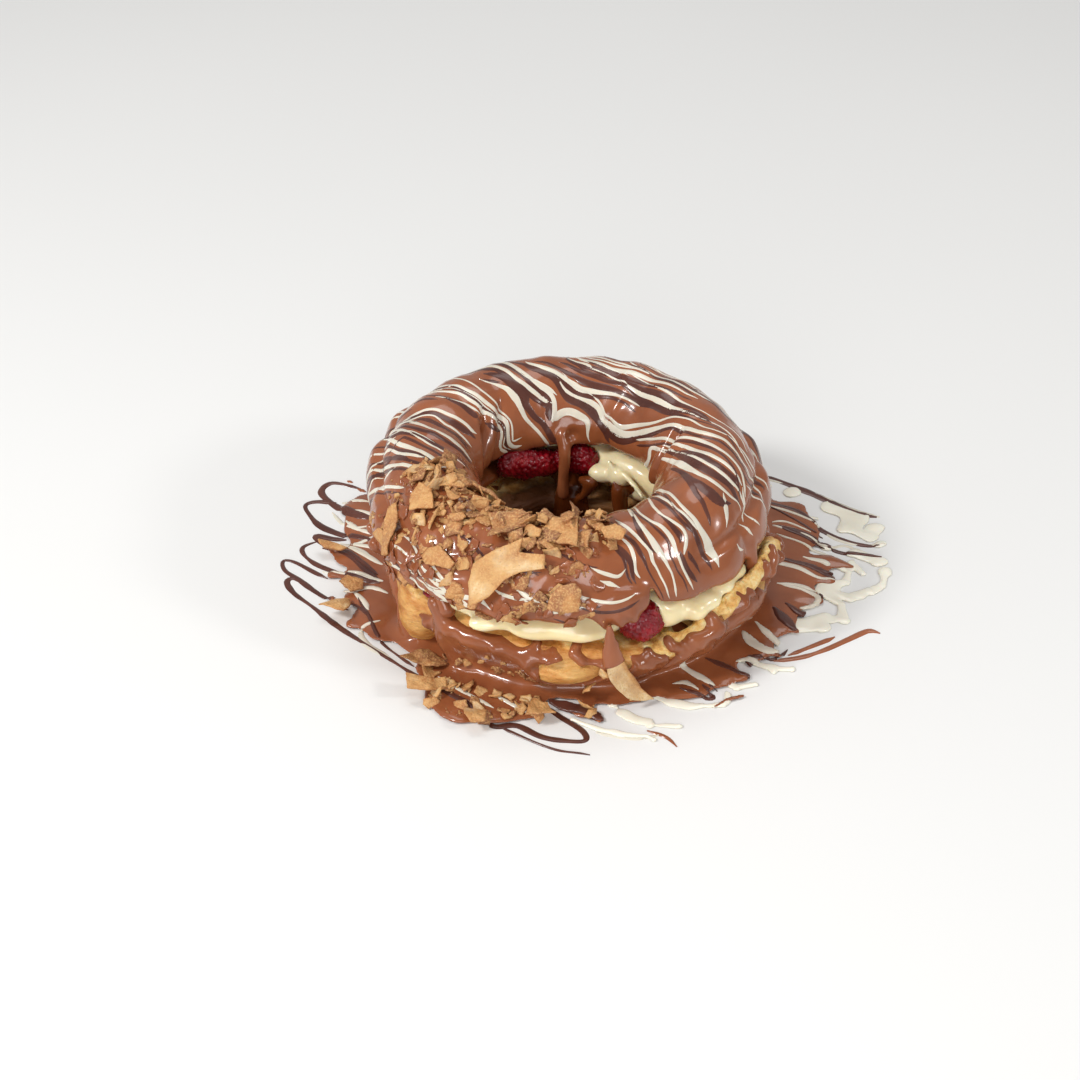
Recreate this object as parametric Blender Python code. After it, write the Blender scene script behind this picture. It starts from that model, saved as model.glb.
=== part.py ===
"""Large ring-shaped profiterole: a split choux ring with custard and strawberries between its halves.

The upper half is three piped strands baked together and coated in chocolate, so its solid is the
outside of that coat. Wafer shards lie on it, and a pool of sauce lies round the foot and in the hole.
Metres, +Z up. The origin is the middle of the ring on the surface that it rests on, and the front
of the ring faces -Y. Directions round the ring are degrees counted from +X towards +Y.
"""

import math

import bmesh
import bpy
from mathutils import Euler, Matrix, Vector

# Rings are lofted from this many sections
SIDES = 84
POOL_SIDES = 108

# Clearances
GAP = 0.0003            # pieces that touch
CUT_GAP = 0.0005        # on the two cut faces, whose facets lie differently

# Lower half of the ring
BASE_CENTRE = Vector((0.0040, 0.0))
BASE_RADIUS = 0.0460    # middle of the dough
BASE_HALF_WIDTH = 0.0180
FOOT_HALF_WIDTH = 0.0095
FOOT_HEIGHT = 0.0026    # upright stretch that the sauce meets
BASE_HEIGHT = 0.0200    # mean height of the cut
BASE_CUT_TILT = 0.0035  # the cut is higher on the left by this
BASE_CUT_HIGH_AT = 195.0
BASE_LEVELS = 4         # sections of each side wall above the foot
BASE_RIDGES = 14
BASE_RIDGE_DEPTH = 0.0007

# Upper half of the ring
LID_CENTRE = Vector((-0.0010, 0.0))
STRANDS = (             # radius of the ring, height, radius of the strand, phase of its ripples
    (0.0535, 0.0350, 0.0125, 0.0),
    (0.0395, 0.0370, 0.0110, 2.0),
    (0.0465, 0.0420, 0.0150, 4.0),
)
LID_HEART = (0.0465, 0.0380)  # point inside all three strands, as radius and height
STRAND_BLEND = 0.0012   # how softly the strands run into each other
STRAND_RIPPLES = 20
STRAND_RIPPLE_DEPTH = 0.035   # share of the strand's radius
LID_SECTION_POINTS = 18
LID_SECTION_FROM = -60.0
LID_SECTION_TO = 240.0
LID_RIM_HEIGHT = 0.0293 # underside at the outer rim
LID_RIM_RADIUS = 0.0660
LID_HOLLOW = 0.20       # the underside rises by this much for each unit inward
LID_SLOPE = 0.045       # the top rises towards the back right
LID_SLOPE_TO = 65.0
LID_SWELLS = (          # direction, half width in degrees, change of the ring's radius
    (136.0, 34.0, 0.0030),
    (60.0, 32.0, 0.0020),
    (192.0, 24.0, -0.0026),
)
RIM_WAVES = (           # direction, half width in degrees, change of the rim's height
    (289.0, 10.0, 0.0050),
    (216.0, 14.0, -0.0012),
)
RIM_TILT = 0.0010
RIM_TILT_TO = 335.0
RIM_WAVE_INNER = 0.0300 # the waves fade to nothing at this radius

# Custard between the halves
CUSTARD_OUTER = 0.0605
CUSTARD_INNER = 0.0325
CUSTARD_BULGE = 0.0010
CUSTARD_WAVE = 0.0006
CUSTARD_WAVES = 11
CUSTARD_BLOBS = (       # direction, half width in degrees, reach outward
    (304.0, 7.0, 0.0022),
    (258.0, 12.0, 0.0008),
)
HOLE_BLOBS = (          # the same, reach into the hole
    (50.0, 13.0, 0.0060),
    (150.0, 12.0, 0.0020),
)

# Strawberry pieces: name, direction, radius, height of the middle, size (across, deep, high), roll
BERRIES = (
    ("strawberry_front", 292.5, 0.0585, 0.0258, (0.0150, 0.0125, 0.0128), 12.0),
    ("strawberry_left", 224.0, 0.0580, 0.0262, (0.0120, 0.0100, 0.0034), 0.0),
    ("strawberry_hole_left", 116.0, 0.0322, 0.0298, (0.0165, 0.0105, 0.0090), -14.0),
    ("strawberry_hole_right", 79.0, 0.0325, 0.0298, (0.0095, 0.0090, 0.0088), 15.0),
    ("strawberry_right", 12.0, 0.0575, 0.0245, (0.0140, 0.0110, 0.0095), 10.0),
    ("strawberry_back", 78.0, 0.0578, 0.0255, (0.0130, 0.0110, 0.0080), -12.0),
    ("strawberry_back_left", 148.0, 0.0582, 0.0262, (0.0120, 0.0100, 0.0060), 8.0),
)
BERRY_SIDES = 10
BERRY_RINGS = 6
BERRY_TAPER = 0.35      # the tip is narrower than the shoulder

# Wafer shards
WAFER_THICKNESS = 0.0009
WAFER_CORNERS = 7
WAFER_LIFT = 0.0019     # above the coat
WAFERS_ON_LID = (       # direction, height up the section in degrees, length, width, turn, bend radius
    (207.0, 20.0, 0.0165, 0.0085, 80.0, 0.020),
    (211.5, 70.0, 0.0115, 0.0085, 65.0, 0.026),
    (212.0, 100.0, 0.0085, 0.0080, 20.0, 0.030),
    (226.0, 120.0, 0.0120, 0.0065, 10.0, 0.020),
    (230.0, 26.0, 0.0125, 0.0080, 5.0, 0.022),
    (248.5, 84.0, 0.0130, 0.0105, 30.0, 0.026),
    (251.0, 40.0, 0.0270, 0.0115, 42.0, 0.024),
    (268.5, 82.0, 0.0140, 0.0110, 80.0, 0.026),
    (269.0, 17.0, 0.0110, 0.0085, 15.0, 0.022),
    (286.0, 74.0, 0.0080, 0.0065, 40.0, 0.024),
)
WAFERS_IN_SAUCE = (     # x, y, length, width, turn, tilt up
    (-0.0465, -0.0470, 0.0150, 0.0090, 10.0, 10.0),
    (-0.0455, -0.0590, 0.0125, 0.0095, -30.0, 14.0),
    (-0.0300, -0.0740, 0.0095, 0.0075, 80.0, 12.0),
    (-0.0095, -0.0725, 0.0115, 0.0080, 60.0, 16.0),
    (-0.0760, -0.0160, 0.0110, 0.0085, 55.0, 14.0),
    (-0.0725, -0.0040, 0.0080, 0.0060, -20.0, 10.0),
    (-0.0800, 0.0190, 0.0085, 0.0060, -15.0, 10.0),
)
CURL_FOOT = Vector((0.0270, -0.0660, 0.0036))
CURL_HEAD = Vector((0.0140, -0.0685, 0.0295))
CURL_WIDTH = 0.0085
CURL_BOW = 0.0030       # how far its middle stands out from the straight line
CURL_STEPS = 7

# Sauce round the foot
POOL_REACH = 0.0700     # outline where there is no lobe
POOL_DEPTH = 0.0022     # where it meets the dough
POOL_RIM_DEPTH = 0.0012
POOL_ROUNDING = 0.0016
POOL_LOBES = (          # direction, half width in degrees, reach beyond the outline
    (146.0, 8.0, 0.0250),
    (168.0, 10.0, 0.0150),
    (192.0, 9.0, 0.0100),
    (216.0, 6.0, -0.0080),
    (243.0, 13.0, 0.0120),
    (279.0, 5.0, 0.0060),
    (288.0, 6.0, -0.0020),
    (307.0, 5.0, 0.0075),
    (322.0, 7.0, 0.0100),
    (348.0, 11.0, 0.0110),
    (6.0, 9.0, 0.0260),
    (26.0, 12.0, 0.0250),
    (44.0, 8.0, 0.0280),
    (75.0, 14.0, 0.0060),
    (112.0, 12.0, 0.0090),
)
HOLE_SAUCE_DEPTH = 0.0024
HOLE_SAUCE_RIM = 0.0018

# Colours, linear RGB, with roughness
CHOUX = ((0.62, 0.33, 0.10), 0.60)
CHOCOLATE = ((0.22, 0.075, 0.035), 0.25)
CUSTARD = ((0.85, 0.68, 0.33), 0.35)
BERRY = ((0.42, 0.015, 0.02), 0.30)
WAFER = ((0.60, 0.33, 0.14), 0.55)


def clear_scene():
    for item in list(bpy.data.objects):
        bpy.data.objects.remove(item, do_unlink=True)


def material(name, look):
    colour, roughness = look
    made = bpy.data.materials.new(name)
    made.use_nodes = True
    shader = made.node_tree.nodes["Principled BSDF"]
    shader.inputs["Base Color"].default_value = (*colour, 1.0)
    shader.inputs["Roughness"].default_value = roughness
    shader.inputs["Metallic"].default_value = 0.0
    return made


def add_object(name, mesh, look):
    mesh.materials.append(look)
    mesh.shade_smooth()
    made = bpy.data.objects.new(name, mesh)
    bpy.context.collection.objects.link(made)
    return made


def bump(angle, centre, half_width):
    """A smooth hump round the ring: 1 at centre, all in degrees."""
    away = (angle - centre + 180.0) % 360.0 - 180.0
    return math.exp(-((away / half_width) ** 2))


def humps(angle, rows):
    return sum(size * bump(angle, centre, half_width) for centre, half_width, size in rows)


def polar(x, y):
    return math.degrees(math.atan2(y, x)), math.hypot(x, y)


def cosine(degrees):
    return math.cos(math.radians(degrees))


def base_cut(x, y):
    """Height of the lower half's cut face."""
    angle, _ = polar(x, y)
    return BASE_HEIGHT + BASE_CUT_TILT * cosine(angle - BASE_CUT_HIGH_AT)


def lid_underside(x, y):
    """Height of the upper half's cut face."""
    angle, radius = polar(x, y)
    inward = LID_RIM_RADIUS - radius
    share = (radius - RIM_WAVE_INNER) / (LID_RIM_RADIUS - RIM_WAVE_INNER)
    waves = humps(angle, RIM_WAVES) * share
    return LID_RIM_HEIGHT + LID_HOLLOW * inward + RIM_TILT * cosine(angle - RIM_TILT_TO) + waves


def loft(name, sections, look):
    """Closed ring through closed sections, each the same number of points, counter-clockwise in (r, z)."""
    shape = bmesh.new()
    loops = [[shape.verts.new(point) for point in section] for section in sections]
    for here, there in zip(loops, loops[1:] + loops[:1]):
        for i in range(len(here)):
            j = (i + 1) % len(here)
            shape.faces.new((here[i], there[i], there[j], here[j]))
    bmesh.ops.triangulate(shape, faces=shape.faces)
    bmesh.ops.recalc_face_normals(shape, faces=shape.faces)
    mesh = bpy.data.meshes.new(name)
    shape.to_mesh(mesh)
    shape.free()
    return add_object(name, mesh, look)


def around(centre, angle, radius):
    return centre + radius * Vector((cosine(angle), math.sin(math.radians(angle))))


def foot_radius(angle, side):
    """Radius of the foot: side is 1 for the outer wall and -1 for the inner one."""
    ridge = BASE_RIDGE_DEPTH * cosine(BASE_RIDGES * angle)
    return BASE_RADIUS + side * (FOOT_HALF_WIDTH + 0.5 * ridge)


def base_wall(angle, side):
    """Points up one side wall of the lower half, foot first."""
    foot = foot_radius(angle, side)
    ridge = BASE_RIDGE_DEPTH * cosine(BASE_RIDGES * angle)
    belly = BASE_RADIUS + side * (BASE_HALF_WIDTH + ridge)
    points = []
    for level in (0.0, FOOT_HEIGHT):
        x, y = around(BASE_CENTRE, angle, foot)
        points.append(Vector((x, y, level)))
    for step in range(1, BASE_LEVELS + 1):
        share = step / BASE_LEVELS
        radius = foot + (belly - foot) * math.sin(math.radians(115.0) * share) ** 0.75
        x, y = around(BASE_CENTRE, angle, radius)
        height = FOOT_HEIGHT + share * (base_cut(x, y) - FOOT_HEIGHT)
        points.append(Vector((x, y, height)))
    return points


def make_base(look):
    sections = []
    for i in range(SIDES):
        angle = 360.0 * i / SIDES
        sections.append(base_wall(angle, 1) + base_wall(angle, -1)[::-1])
    return loft("choux_base", sections, look)


def ring_exit(angle, direction, strand):
    """How far from LID_HEART a line leaves one strand's round section."""
    radius, height, thick, phase = strand
    swell = humps(angle, LID_SWELLS)
    thick *= 1.0 + STRAND_RIPPLE_DEPTH * math.cos(math.radians(STRAND_RIPPLES * angle) + phase)
    to_middle = Vector((radius + swell - LID_HEART[0], height - LID_HEART[1]))
    along = direction.dot(to_middle)
    inside = along * along - to_middle.length_squared + thick * thick
    return along + math.sqrt(max(inside, 1e-8))


def soft_max(values, blend):
    top = max(values)
    return top + blend * math.log(sum(math.exp((value - top) / blend) for value in values))


def lid_point(angle, section_angle):
    """A point of the coat: angle goes round the ring, section_angle up its section from the outside."""
    direction = Vector((cosine(section_angle), math.sin(math.radians(section_angle))))
    reach = soft_max([ring_exit(angle, direction, strand) for strand in STRANDS], STRAND_BLEND)
    radius = LID_HEART[0] + reach * direction.x
    x, y = around(LID_CENTRE, angle, radius)
    lift = LID_SLOPE * radius * cosine(angle - LID_SLOPE_TO)
    height = LID_HEART[1] + reach * direction.y + lift
    return Vector((x, y, max(height, lid_underside(x, y))))


def make_lid(look):
    span = LID_SECTION_TO - LID_SECTION_FROM
    steps = [LID_SECTION_FROM + span * i / (LID_SECTION_POINTS - 1) for i in range(LID_SECTION_POINTS)]
    sections = [[lid_point(360.0 * i / SIDES, step) for step in steps] for i in range(SIDES)]
    return loft("choux_lid", sections, look)


def custard_section(angle):
    wave = CUSTARD_WAVE * cosine(CUSTARD_WAVES * angle)
    outer = CUSTARD_OUTER + wave + humps(angle, CUSTARD_BLOBS)
    inner = CUSTARD_INNER - wave - humps(angle, HOLE_BLOBS)
    points = []
    for radius, share in (
        (inner, 0.0),
        (outer, 0.0),
        (outer + CUSTARD_BULGE, 0.5),
        (outer, 1.0),
        (inner, 1.0),
        (inner - CUSTARD_BULGE, 0.5),
    ):
        x, y = around(Vector((0.0, 0.0)), angle, radius)
        low = base_cut(x, y) + CUT_GAP
        high = lid_underside(x, y) - CUT_GAP
        points.append(Vector((x, y, low + share * (high - low))))
    return points


def make_custard(look):
    sections = [custard_section(360.0 * i / SIDES) for i in range(SIDES)]
    return loft("custard", sections, look)


def berry_mesh(name, size, grow):
    """A cut strawberry: blunt at one end and narrower at the other, point towards +Y."""
    across, deep, high = (0.5 * length + grow for length in size)
    shape = bmesh.new()
    bmesh.ops.create_uvsphere(shape, u_segments=BERRY_SIDES, v_segments=BERRY_RINGS, radius=1.0)
    for vert in shape.verts:
        taper = 1.0 - BERRY_TAPER * max(vert.co.x, 0.0)
        vert.co = Vector((vert.co.x * across, vert.co.y * deep * taper, vert.co.z * high * taper))
    bmesh.ops.triangulate(shape, faces=shape.faces)
    mesh = bpy.data.meshes.new(name)
    shape.to_mesh(mesh)
    shape.free()
    return mesh


def make_berries(custard, look):
    """The strawberry pieces, each with a cutter that leaves room for it in the custard."""
    for name, angle, radius, height, size, roll in BERRIES:
        x, y = around(Vector((0.0, 0.0)), angle, radius)
        turn = Euler((0.0, math.radians(roll), math.radians(angle + 90.0)))
        berry = add_object(name, berry_mesh(name, size, 0.0), look)
        cutter = add_object(name + "_cutter", berry_mesh(name + "_cutter", size, GAP), look)
        for piece in (berry, cutter):
            piece.location = (x, y, height)
            piece.rotation_euler = turn
        cutter.hide_render = True
        cutter.display_type = "WIRE"
        cut = custard.modifiers.new("room for " + name, "BOOLEAN")
        cut.operation = "DIFFERENCE"
        cut.solver = "EXACT"
        cut.object = cutter


def wafer_mesh(name, length, width, bend, seed):
    """A broken piece of thin wafer: an uneven outline, bent round its long axis."""
    outline = []
    for i in range(WAFER_CORNERS):
        angle = math.radians(360.0 * (i + 0.35 * math.sin(seed * 5.1 + i * 2.3)) / WAFER_CORNERS)
        reach = 0.86 + 0.14 * math.sin(seed * 3.7 + i * 4.1)
        outline.append(Vector((0.5 * length * reach * math.cos(angle), 0.5 * width * reach * math.sin(angle))))
    shape = bmesh.new()
    sides = []
    for level in (0.0, WAFER_THICKNESS):
        middle = shape.verts.new((0.0, 0.0, level))
        edge = [shape.verts.new((p.x, p.y, level - p.y * p.y / (2.0 * bend))) for p in outline]
        sides.append((middle, edge))
    (low, low_edge), (high, high_edge) = sides
    for i in range(WAFER_CORNERS):
        j = (i + 1) % WAFER_CORNERS
        shape.faces.new((low, low_edge[j], low_edge[i]))
        shape.faces.new((high, high_edge[i], high_edge[j]))
        shape.faces.new((low_edge[i], low_edge[j], high_edge[j], high_edge[i]))
    bmesh.ops.triangulate(shape, faces=shape.faces)
    bmesh.ops.recalc_face_normals(shape, faces=shape.faces)
    mesh = bpy.data.meshes.new(name)
    shape.to_mesh(mesh)
    shape.free()
    return mesh


def lid_frame(angle, section_angle):
    """Point on the coat, with axes along the ring, up the section and outward."""
    here = lid_point(angle, section_angle)
    along = (lid_point(angle + 6.0, section_angle) - lid_point(angle - 6.0, section_angle)).normalized()
    up = lid_point(angle, section_angle + 12.0) - lid_point(angle, section_angle - 12.0)
    outward = along.cross(up).normalized()
    return here, along, outward.cross(along), outward


def make_wafers_on_lid(look):
    for i, (angle, section_angle, length, width, turn, bend) in enumerate(WAFERS_ON_LID):
        name = f"wafer_lid_{i + 1}"
        here, along, up, outward = lid_frame(angle, section_angle)
        axes = Matrix((along, up, outward)).transposed().to_4x4()
        place = Matrix.Translation(here + outward * WAFER_LIFT) @ axes
        piece = add_object(name, wafer_mesh(name, length, width, bend, i + 1), look)
        piece.matrix_world = place @ Matrix.Rotation(math.radians(turn), 4, "Z")


def make_wafers_in_sauce(look):
    for i, (x, y, length, width, turn, tilt) in enumerate(WAFERS_IN_SAUCE):
        name = f"wafer_sauce_{i + 1}"
        piece = add_object(name, wafer_mesh(name, length, width, 0.020, i + 11), look)
        spin = Matrix.Rotation(math.radians(turn), 4, "Z")
        tip = Matrix.Rotation(math.radians(tilt), 4, "Y")
        rise = POOL_DEPTH + GAP + 0.5 * length * math.sin(math.radians(tilt)) + width * width / 0.16
        piece.matrix_world = Matrix.Translation((x, y, rise)) @ spin @ tip


def make_curl(look):
    """The long shard that leans on the ring with its foot in the sauce."""
    run = CURL_HEAD - CURL_FOOT
    outward = Vector((CURL_FOOT.x, CURL_FOOT.y, 0.0)).normalized()
    across = run.cross(outward).normalized()
    sections = []
    for i in range(CURL_STEPS + 1):
        share = i / CURL_STEPS
        middle = CURL_FOOT + run * share + outward * CURL_BOW * math.sin(math.pi * share)
        half = 0.5 * CURL_WIDTH * (0.30 + 0.70 * math.sin(math.pi * min(1.0, 0.12 + 0.86 * share)))
        corners = []
        for side, depth in ((-1, 0.0), (1, 0.0), (1, WAFER_THICKNESS), (-1, WAFER_THICKNESS)):
            corners.append(middle + across * side * half + outward * depth)
        sections.append(corners)
    shape = bmesh.new()
    loops = [[shape.verts.new(corner) for corner in section] for section in sections]
    for here, there in zip(loops, loops[1:]):
        for i in range(4):
            shape.faces.new((here[i], there[i], there[(i + 1) % 4], here[(i + 1) % 4]))
    shape.faces.new(loops[0][::-1])
    shape.faces.new(loops[-1])
    bmesh.ops.triangulate(shape, faces=shape.faces)
    bmesh.ops.recalc_face_normals(shape, faces=shape.faces)
    mesh = bpy.data.meshes.new("wafer_curl")
    shape.to_mesh(mesh)
    shape.free()
    add_object("wafer_curl", mesh, look)


def make_pool(look):
    """Sauce round the foot: an upright inner wall, a top that falls outward and a rounded rim."""
    sections = []
    for i in range(POOL_SIDES):
        angle = 360.0 * i / POOL_SIDES
        inner = around(BASE_CENTRE, angle, foot_radius(angle, 1) + GAP)
        outer = around(Vector((0.0, 0.0)), angle, POOL_REACH + humps(angle, POOL_LOBES))
        inward = (inner - outer).normalized()
        shoulder = outer + inward * POOL_ROUNDING
        lip = outer + inward * 0.3 * POOL_ROUNDING
        sections.append([
            Vector((inner.x, inner.y, 0.0)),
            Vector((outer.x, outer.y, 0.0)),
            Vector((lip.x, lip.y, 0.6 * POOL_RIM_DEPTH)),
            Vector((shoulder.x, shoulder.y, POOL_RIM_DEPTH)),
            Vector((inner.x, inner.y, POOL_DEPTH)),
        ])
    loft("sauce_pool", sections, look)


def make_hole_sauce(look):
    """Sauce in the hole: a low dome with a flat underside."""
    shape = bmesh.new()
    rings = []
    for share, level in ((1.0, 0.0), (1.0, HOLE_SAUCE_RIM), (0.6, HOLE_SAUCE_DEPTH)):
        ring = []
        for i in range(SIDES // 2):
            angle = 720.0 * i / SIDES
            wall = around(BASE_CENTRE, angle, foot_radius(angle, -1) - GAP)
            ring.append(shape.verts.new((wall.x * share, wall.y * share, level)))
        rings.append(ring)
    for here, there in zip(rings, rings[1:]):
        for i in range(len(here)):
            j = (i + 1) % len(here)
            shape.faces.new((here[i], here[j], there[j], there[i]))
    shape.faces.new(rings[0][::-1])
    shape.faces.new(rings[-1])
    bmesh.ops.triangulate(shape, faces=shape.faces)
    bmesh.ops.recalc_face_normals(shape, faces=shape.faces)
    mesh = bpy.data.meshes.new("sauce_in_hole")
    shape.to_mesh(mesh)
    shape.free()
    add_object("sauce_in_hole", mesh, look)


def main():
    clear_scene()
    choux = material("choux", CHOUX)
    chocolate = material("chocolate", CHOCOLATE)
    custard_look = material("custard", CUSTARD)
    berry_look = material("strawberry", BERRY)
    wafer = material("wafer", WAFER)
    make_base(choux)
    custard = make_custard(custard_look)
    make_berries(custard, berry_look)
    make_lid(chocolate)
    make_wafers_on_lid(wafer)
    make_wafers_in_sauce(wafer)
    make_curl(wafer)
    make_pool(chocolate)
    make_hole_sauce(chocolate)


main()
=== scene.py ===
"""Looks of the ring-shaped profiterole: choux, custard and strawberries under flowing chocolate.

Metres, +Z up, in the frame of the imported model. Directions round the ring are degrees from +X
towards +Y, so the front of the ring, which the camera sees, is at 270.
"""

import math

import bmesh
import bpy
import numpy as np
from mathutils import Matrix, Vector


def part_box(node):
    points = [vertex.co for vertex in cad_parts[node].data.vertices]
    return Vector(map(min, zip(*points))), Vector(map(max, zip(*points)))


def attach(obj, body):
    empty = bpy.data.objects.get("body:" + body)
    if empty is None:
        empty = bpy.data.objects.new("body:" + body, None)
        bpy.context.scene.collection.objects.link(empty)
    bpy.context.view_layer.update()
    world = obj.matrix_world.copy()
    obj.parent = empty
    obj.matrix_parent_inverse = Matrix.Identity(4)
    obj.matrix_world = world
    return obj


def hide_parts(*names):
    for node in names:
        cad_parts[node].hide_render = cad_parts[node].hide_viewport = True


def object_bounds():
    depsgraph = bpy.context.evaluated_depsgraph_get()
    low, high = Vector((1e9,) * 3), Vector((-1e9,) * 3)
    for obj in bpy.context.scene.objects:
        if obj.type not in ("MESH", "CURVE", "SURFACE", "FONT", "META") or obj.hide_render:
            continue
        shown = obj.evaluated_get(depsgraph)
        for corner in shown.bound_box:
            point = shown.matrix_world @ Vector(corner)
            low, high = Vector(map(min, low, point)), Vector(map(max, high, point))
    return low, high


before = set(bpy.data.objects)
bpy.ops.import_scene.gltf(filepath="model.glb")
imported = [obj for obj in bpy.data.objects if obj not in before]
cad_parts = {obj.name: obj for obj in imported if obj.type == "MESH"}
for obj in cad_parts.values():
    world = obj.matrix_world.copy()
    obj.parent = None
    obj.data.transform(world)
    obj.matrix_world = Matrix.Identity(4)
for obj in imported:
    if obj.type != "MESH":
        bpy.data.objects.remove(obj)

import openvdb as vdb
from mathutils import Vector
from mathutils.bvhtree import BVHTree

CAD_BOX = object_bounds()
MM = 0.001

# ---------------------------------------------------------------- the ring, as the CAD has it
LID_LOW, LID_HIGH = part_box("choux_lid")
BASE_LOW, BASE_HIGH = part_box("choux_base")
LID_CENTRE = (LID_LOW + LID_HIGH) / 2
BASE_CENTRE = (BASE_LOW + BASE_HIGH) / 2
LID_RADIUS = (LID_HIGH.x - LID_LOW.x) / 2
HEART_RADIUS = 0.705 * LID_RADIUS     # middle of the lid's section
HEART_HEIGHT = 38 * MM
LID_SLOPE = 0.045                     # the lid's top rises towards the back right
LID_SLOPE_TO = 65.0

# ---------------------------------------------------------------- voxels
FINE = 0.72 * MM
COARSE = 1.30 * MM
SAUCE_VOXEL = 0.80 * MM
BAND = 8                              # voxels on each side of a surface


# ================================================================ numbers
def hashed(ix, iy, iz, seed):
    """A number from -1 to 1 for each whole-number place."""
    with np.errstate(over="ignore"):
        h = ix.astype(np.uint32) * np.uint32(374761393)
        h = h + iy.astype(np.uint32) * np.uint32(668265263)
        h = h + iz.astype(np.uint32) * np.uint32(2246822519)
        h = h + np.uint32(seed) * np.uint32(3266489917)
        h = (h ^ (h >> np.uint32(13))) * np.uint32(1274126177)
        h = h ^ (h >> np.uint32(16))
    return h.astype(np.float64) / 2147483648.0 - 1.0


def noise(points, scale, seed=0):
    """Smooth noise from -1 to 1 at each point; scale is the size of its lumps."""
    p = np.asarray(points, float) / scale
    cell = np.floor(p).astype(np.int64)
    f = p - cell
    f = f * f * f * (f * (f * 6 - 15) + 10)
    total = np.zeros(len(p))
    for dx in (0, 1):
        for dy in (0, 1):
            for dz in (0, 1):
                weight = np.abs(1 - dx - f[:, 0]) * np.abs(1 - dy - f[:, 1]) * np.abs(1 - dz - f[:, 2])
                total += weight * hashed(cell[:, 0] + dx, cell[:, 1] + dy, cell[:, 2] + dz, seed)
    return total


def rough(points, scale, seed=0, octaves=3):
    """Noise with finer noise on top, each octave half as strong."""
    return sum(noise(points, scale / 2**i, seed + i) / 2**i for i in range(octaves))


def away(angle, centre):
    """How far angle is from centre, in degrees from -180 to 180."""
    return (angle - centre + 180.0) % 360.0 - 180.0


def hump(x, half_width):
    return np.exp(-((x / half_width) ** 2))


def smooth_min(a, b, k):
    h = np.clip(0.5 + 0.5 * (b - a) / k, 0.0, 1.0)
    return b + (a - b) * h - k * h * (1.0 - h)


def smooth_max(a, b, k):
    return -smooth_min(-a, -b, k)


def step_up(x, low, high):
    t = np.clip((x - low) / (high - low), 0.0, 1.0)
    return t * t * (3.0 - 2.0 * t)


# ================================================================ meshes
def new_object(name, mesh):
    made = bpy.data.objects.new(name, mesh)
    bpy.context.scene.collection.objects.link(made)
    return made


def mesh_from(name, points, faces):
    """An object from an array of points and an array of faces with the same number of corners."""
    faces = np.asarray(faces, np.int32)
    mesh = bpy.data.meshes.new(name)
    mesh.vertices.add(len(points))
    mesh.vertices.foreach_set("co", np.asarray(points, np.float32).ravel())
    count, corners = faces.shape
    mesh.loops.add(count * corners)
    mesh.loops.foreach_set("vertex_index", faces.ravel())
    mesh.polygons.add(count)
    mesh.polygons.foreach_set("loop_start", np.arange(0, count * corners, corners, dtype=np.int32))
    mesh.polygons.foreach_set("use_smooth", np.ones(count, bool))
    mesh.update()
    mesh.validate()
    return new_object(name, mesh)


def points_of(mesh):
    co = np.empty(len(mesh.vertices) * 3, np.float32)
    mesh.vertices.foreach_get("co", co)
    return co.reshape(-1, 3).astype(float)


def normals_of(mesh):
    co = np.empty(len(mesh.vertices) * 3, np.float32)
    mesh.vertices.foreach_get("normal", co)
    return co.reshape(-1, 3).astype(float)


def move_points(mesh, points):
    mesh.vertices.foreach_set("co", np.asarray(points, np.float32).ravel())
    mesh.update()


def triangles_of(mesh):
    mesh.calc_loop_triangles()
    tri = np.empty(len(mesh.loop_triangles) * 3, np.int32)
    mesh.loop_triangles.foreach_get("vertices", tri)
    return tri.reshape(-1, 3)


def cad_surface(node, smooth_levels):
    """Points and triangles of a CAD node, with its facets rounded by subdivision."""
    work = bmesh.new()
    work.from_mesh(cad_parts[node].data)
    bmesh.ops.remove_doubles(work, verts=work.verts, dist=0.01 * MM)
    if smooth_levels:
        bmesh.ops.join_triangles(
            work, faces=work.faces, angle_face_threshold=3.2, angle_shape_threshold=3.2
        )
    mesh = bpy.data.meshes.new(node + "_work")
    work.to_mesh(mesh)
    work.free()
    guide = new_object(node + "_work", mesh)
    if smooth_levels:
        rounding = guide.modifiers.new("rounding", "SUBSURF")
        rounding.levels = smooth_levels
        rounding.render_levels = smooth_levels
    shown = guide.evaluated_get(bpy.context.evaluated_depsgraph_get()).to_mesh()
    found = points_of(shown), triangles_of(shown)
    bpy.data.objects.remove(guide, do_unlink=True)
    bpy.data.meshes.remove(mesh)
    return found


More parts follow.
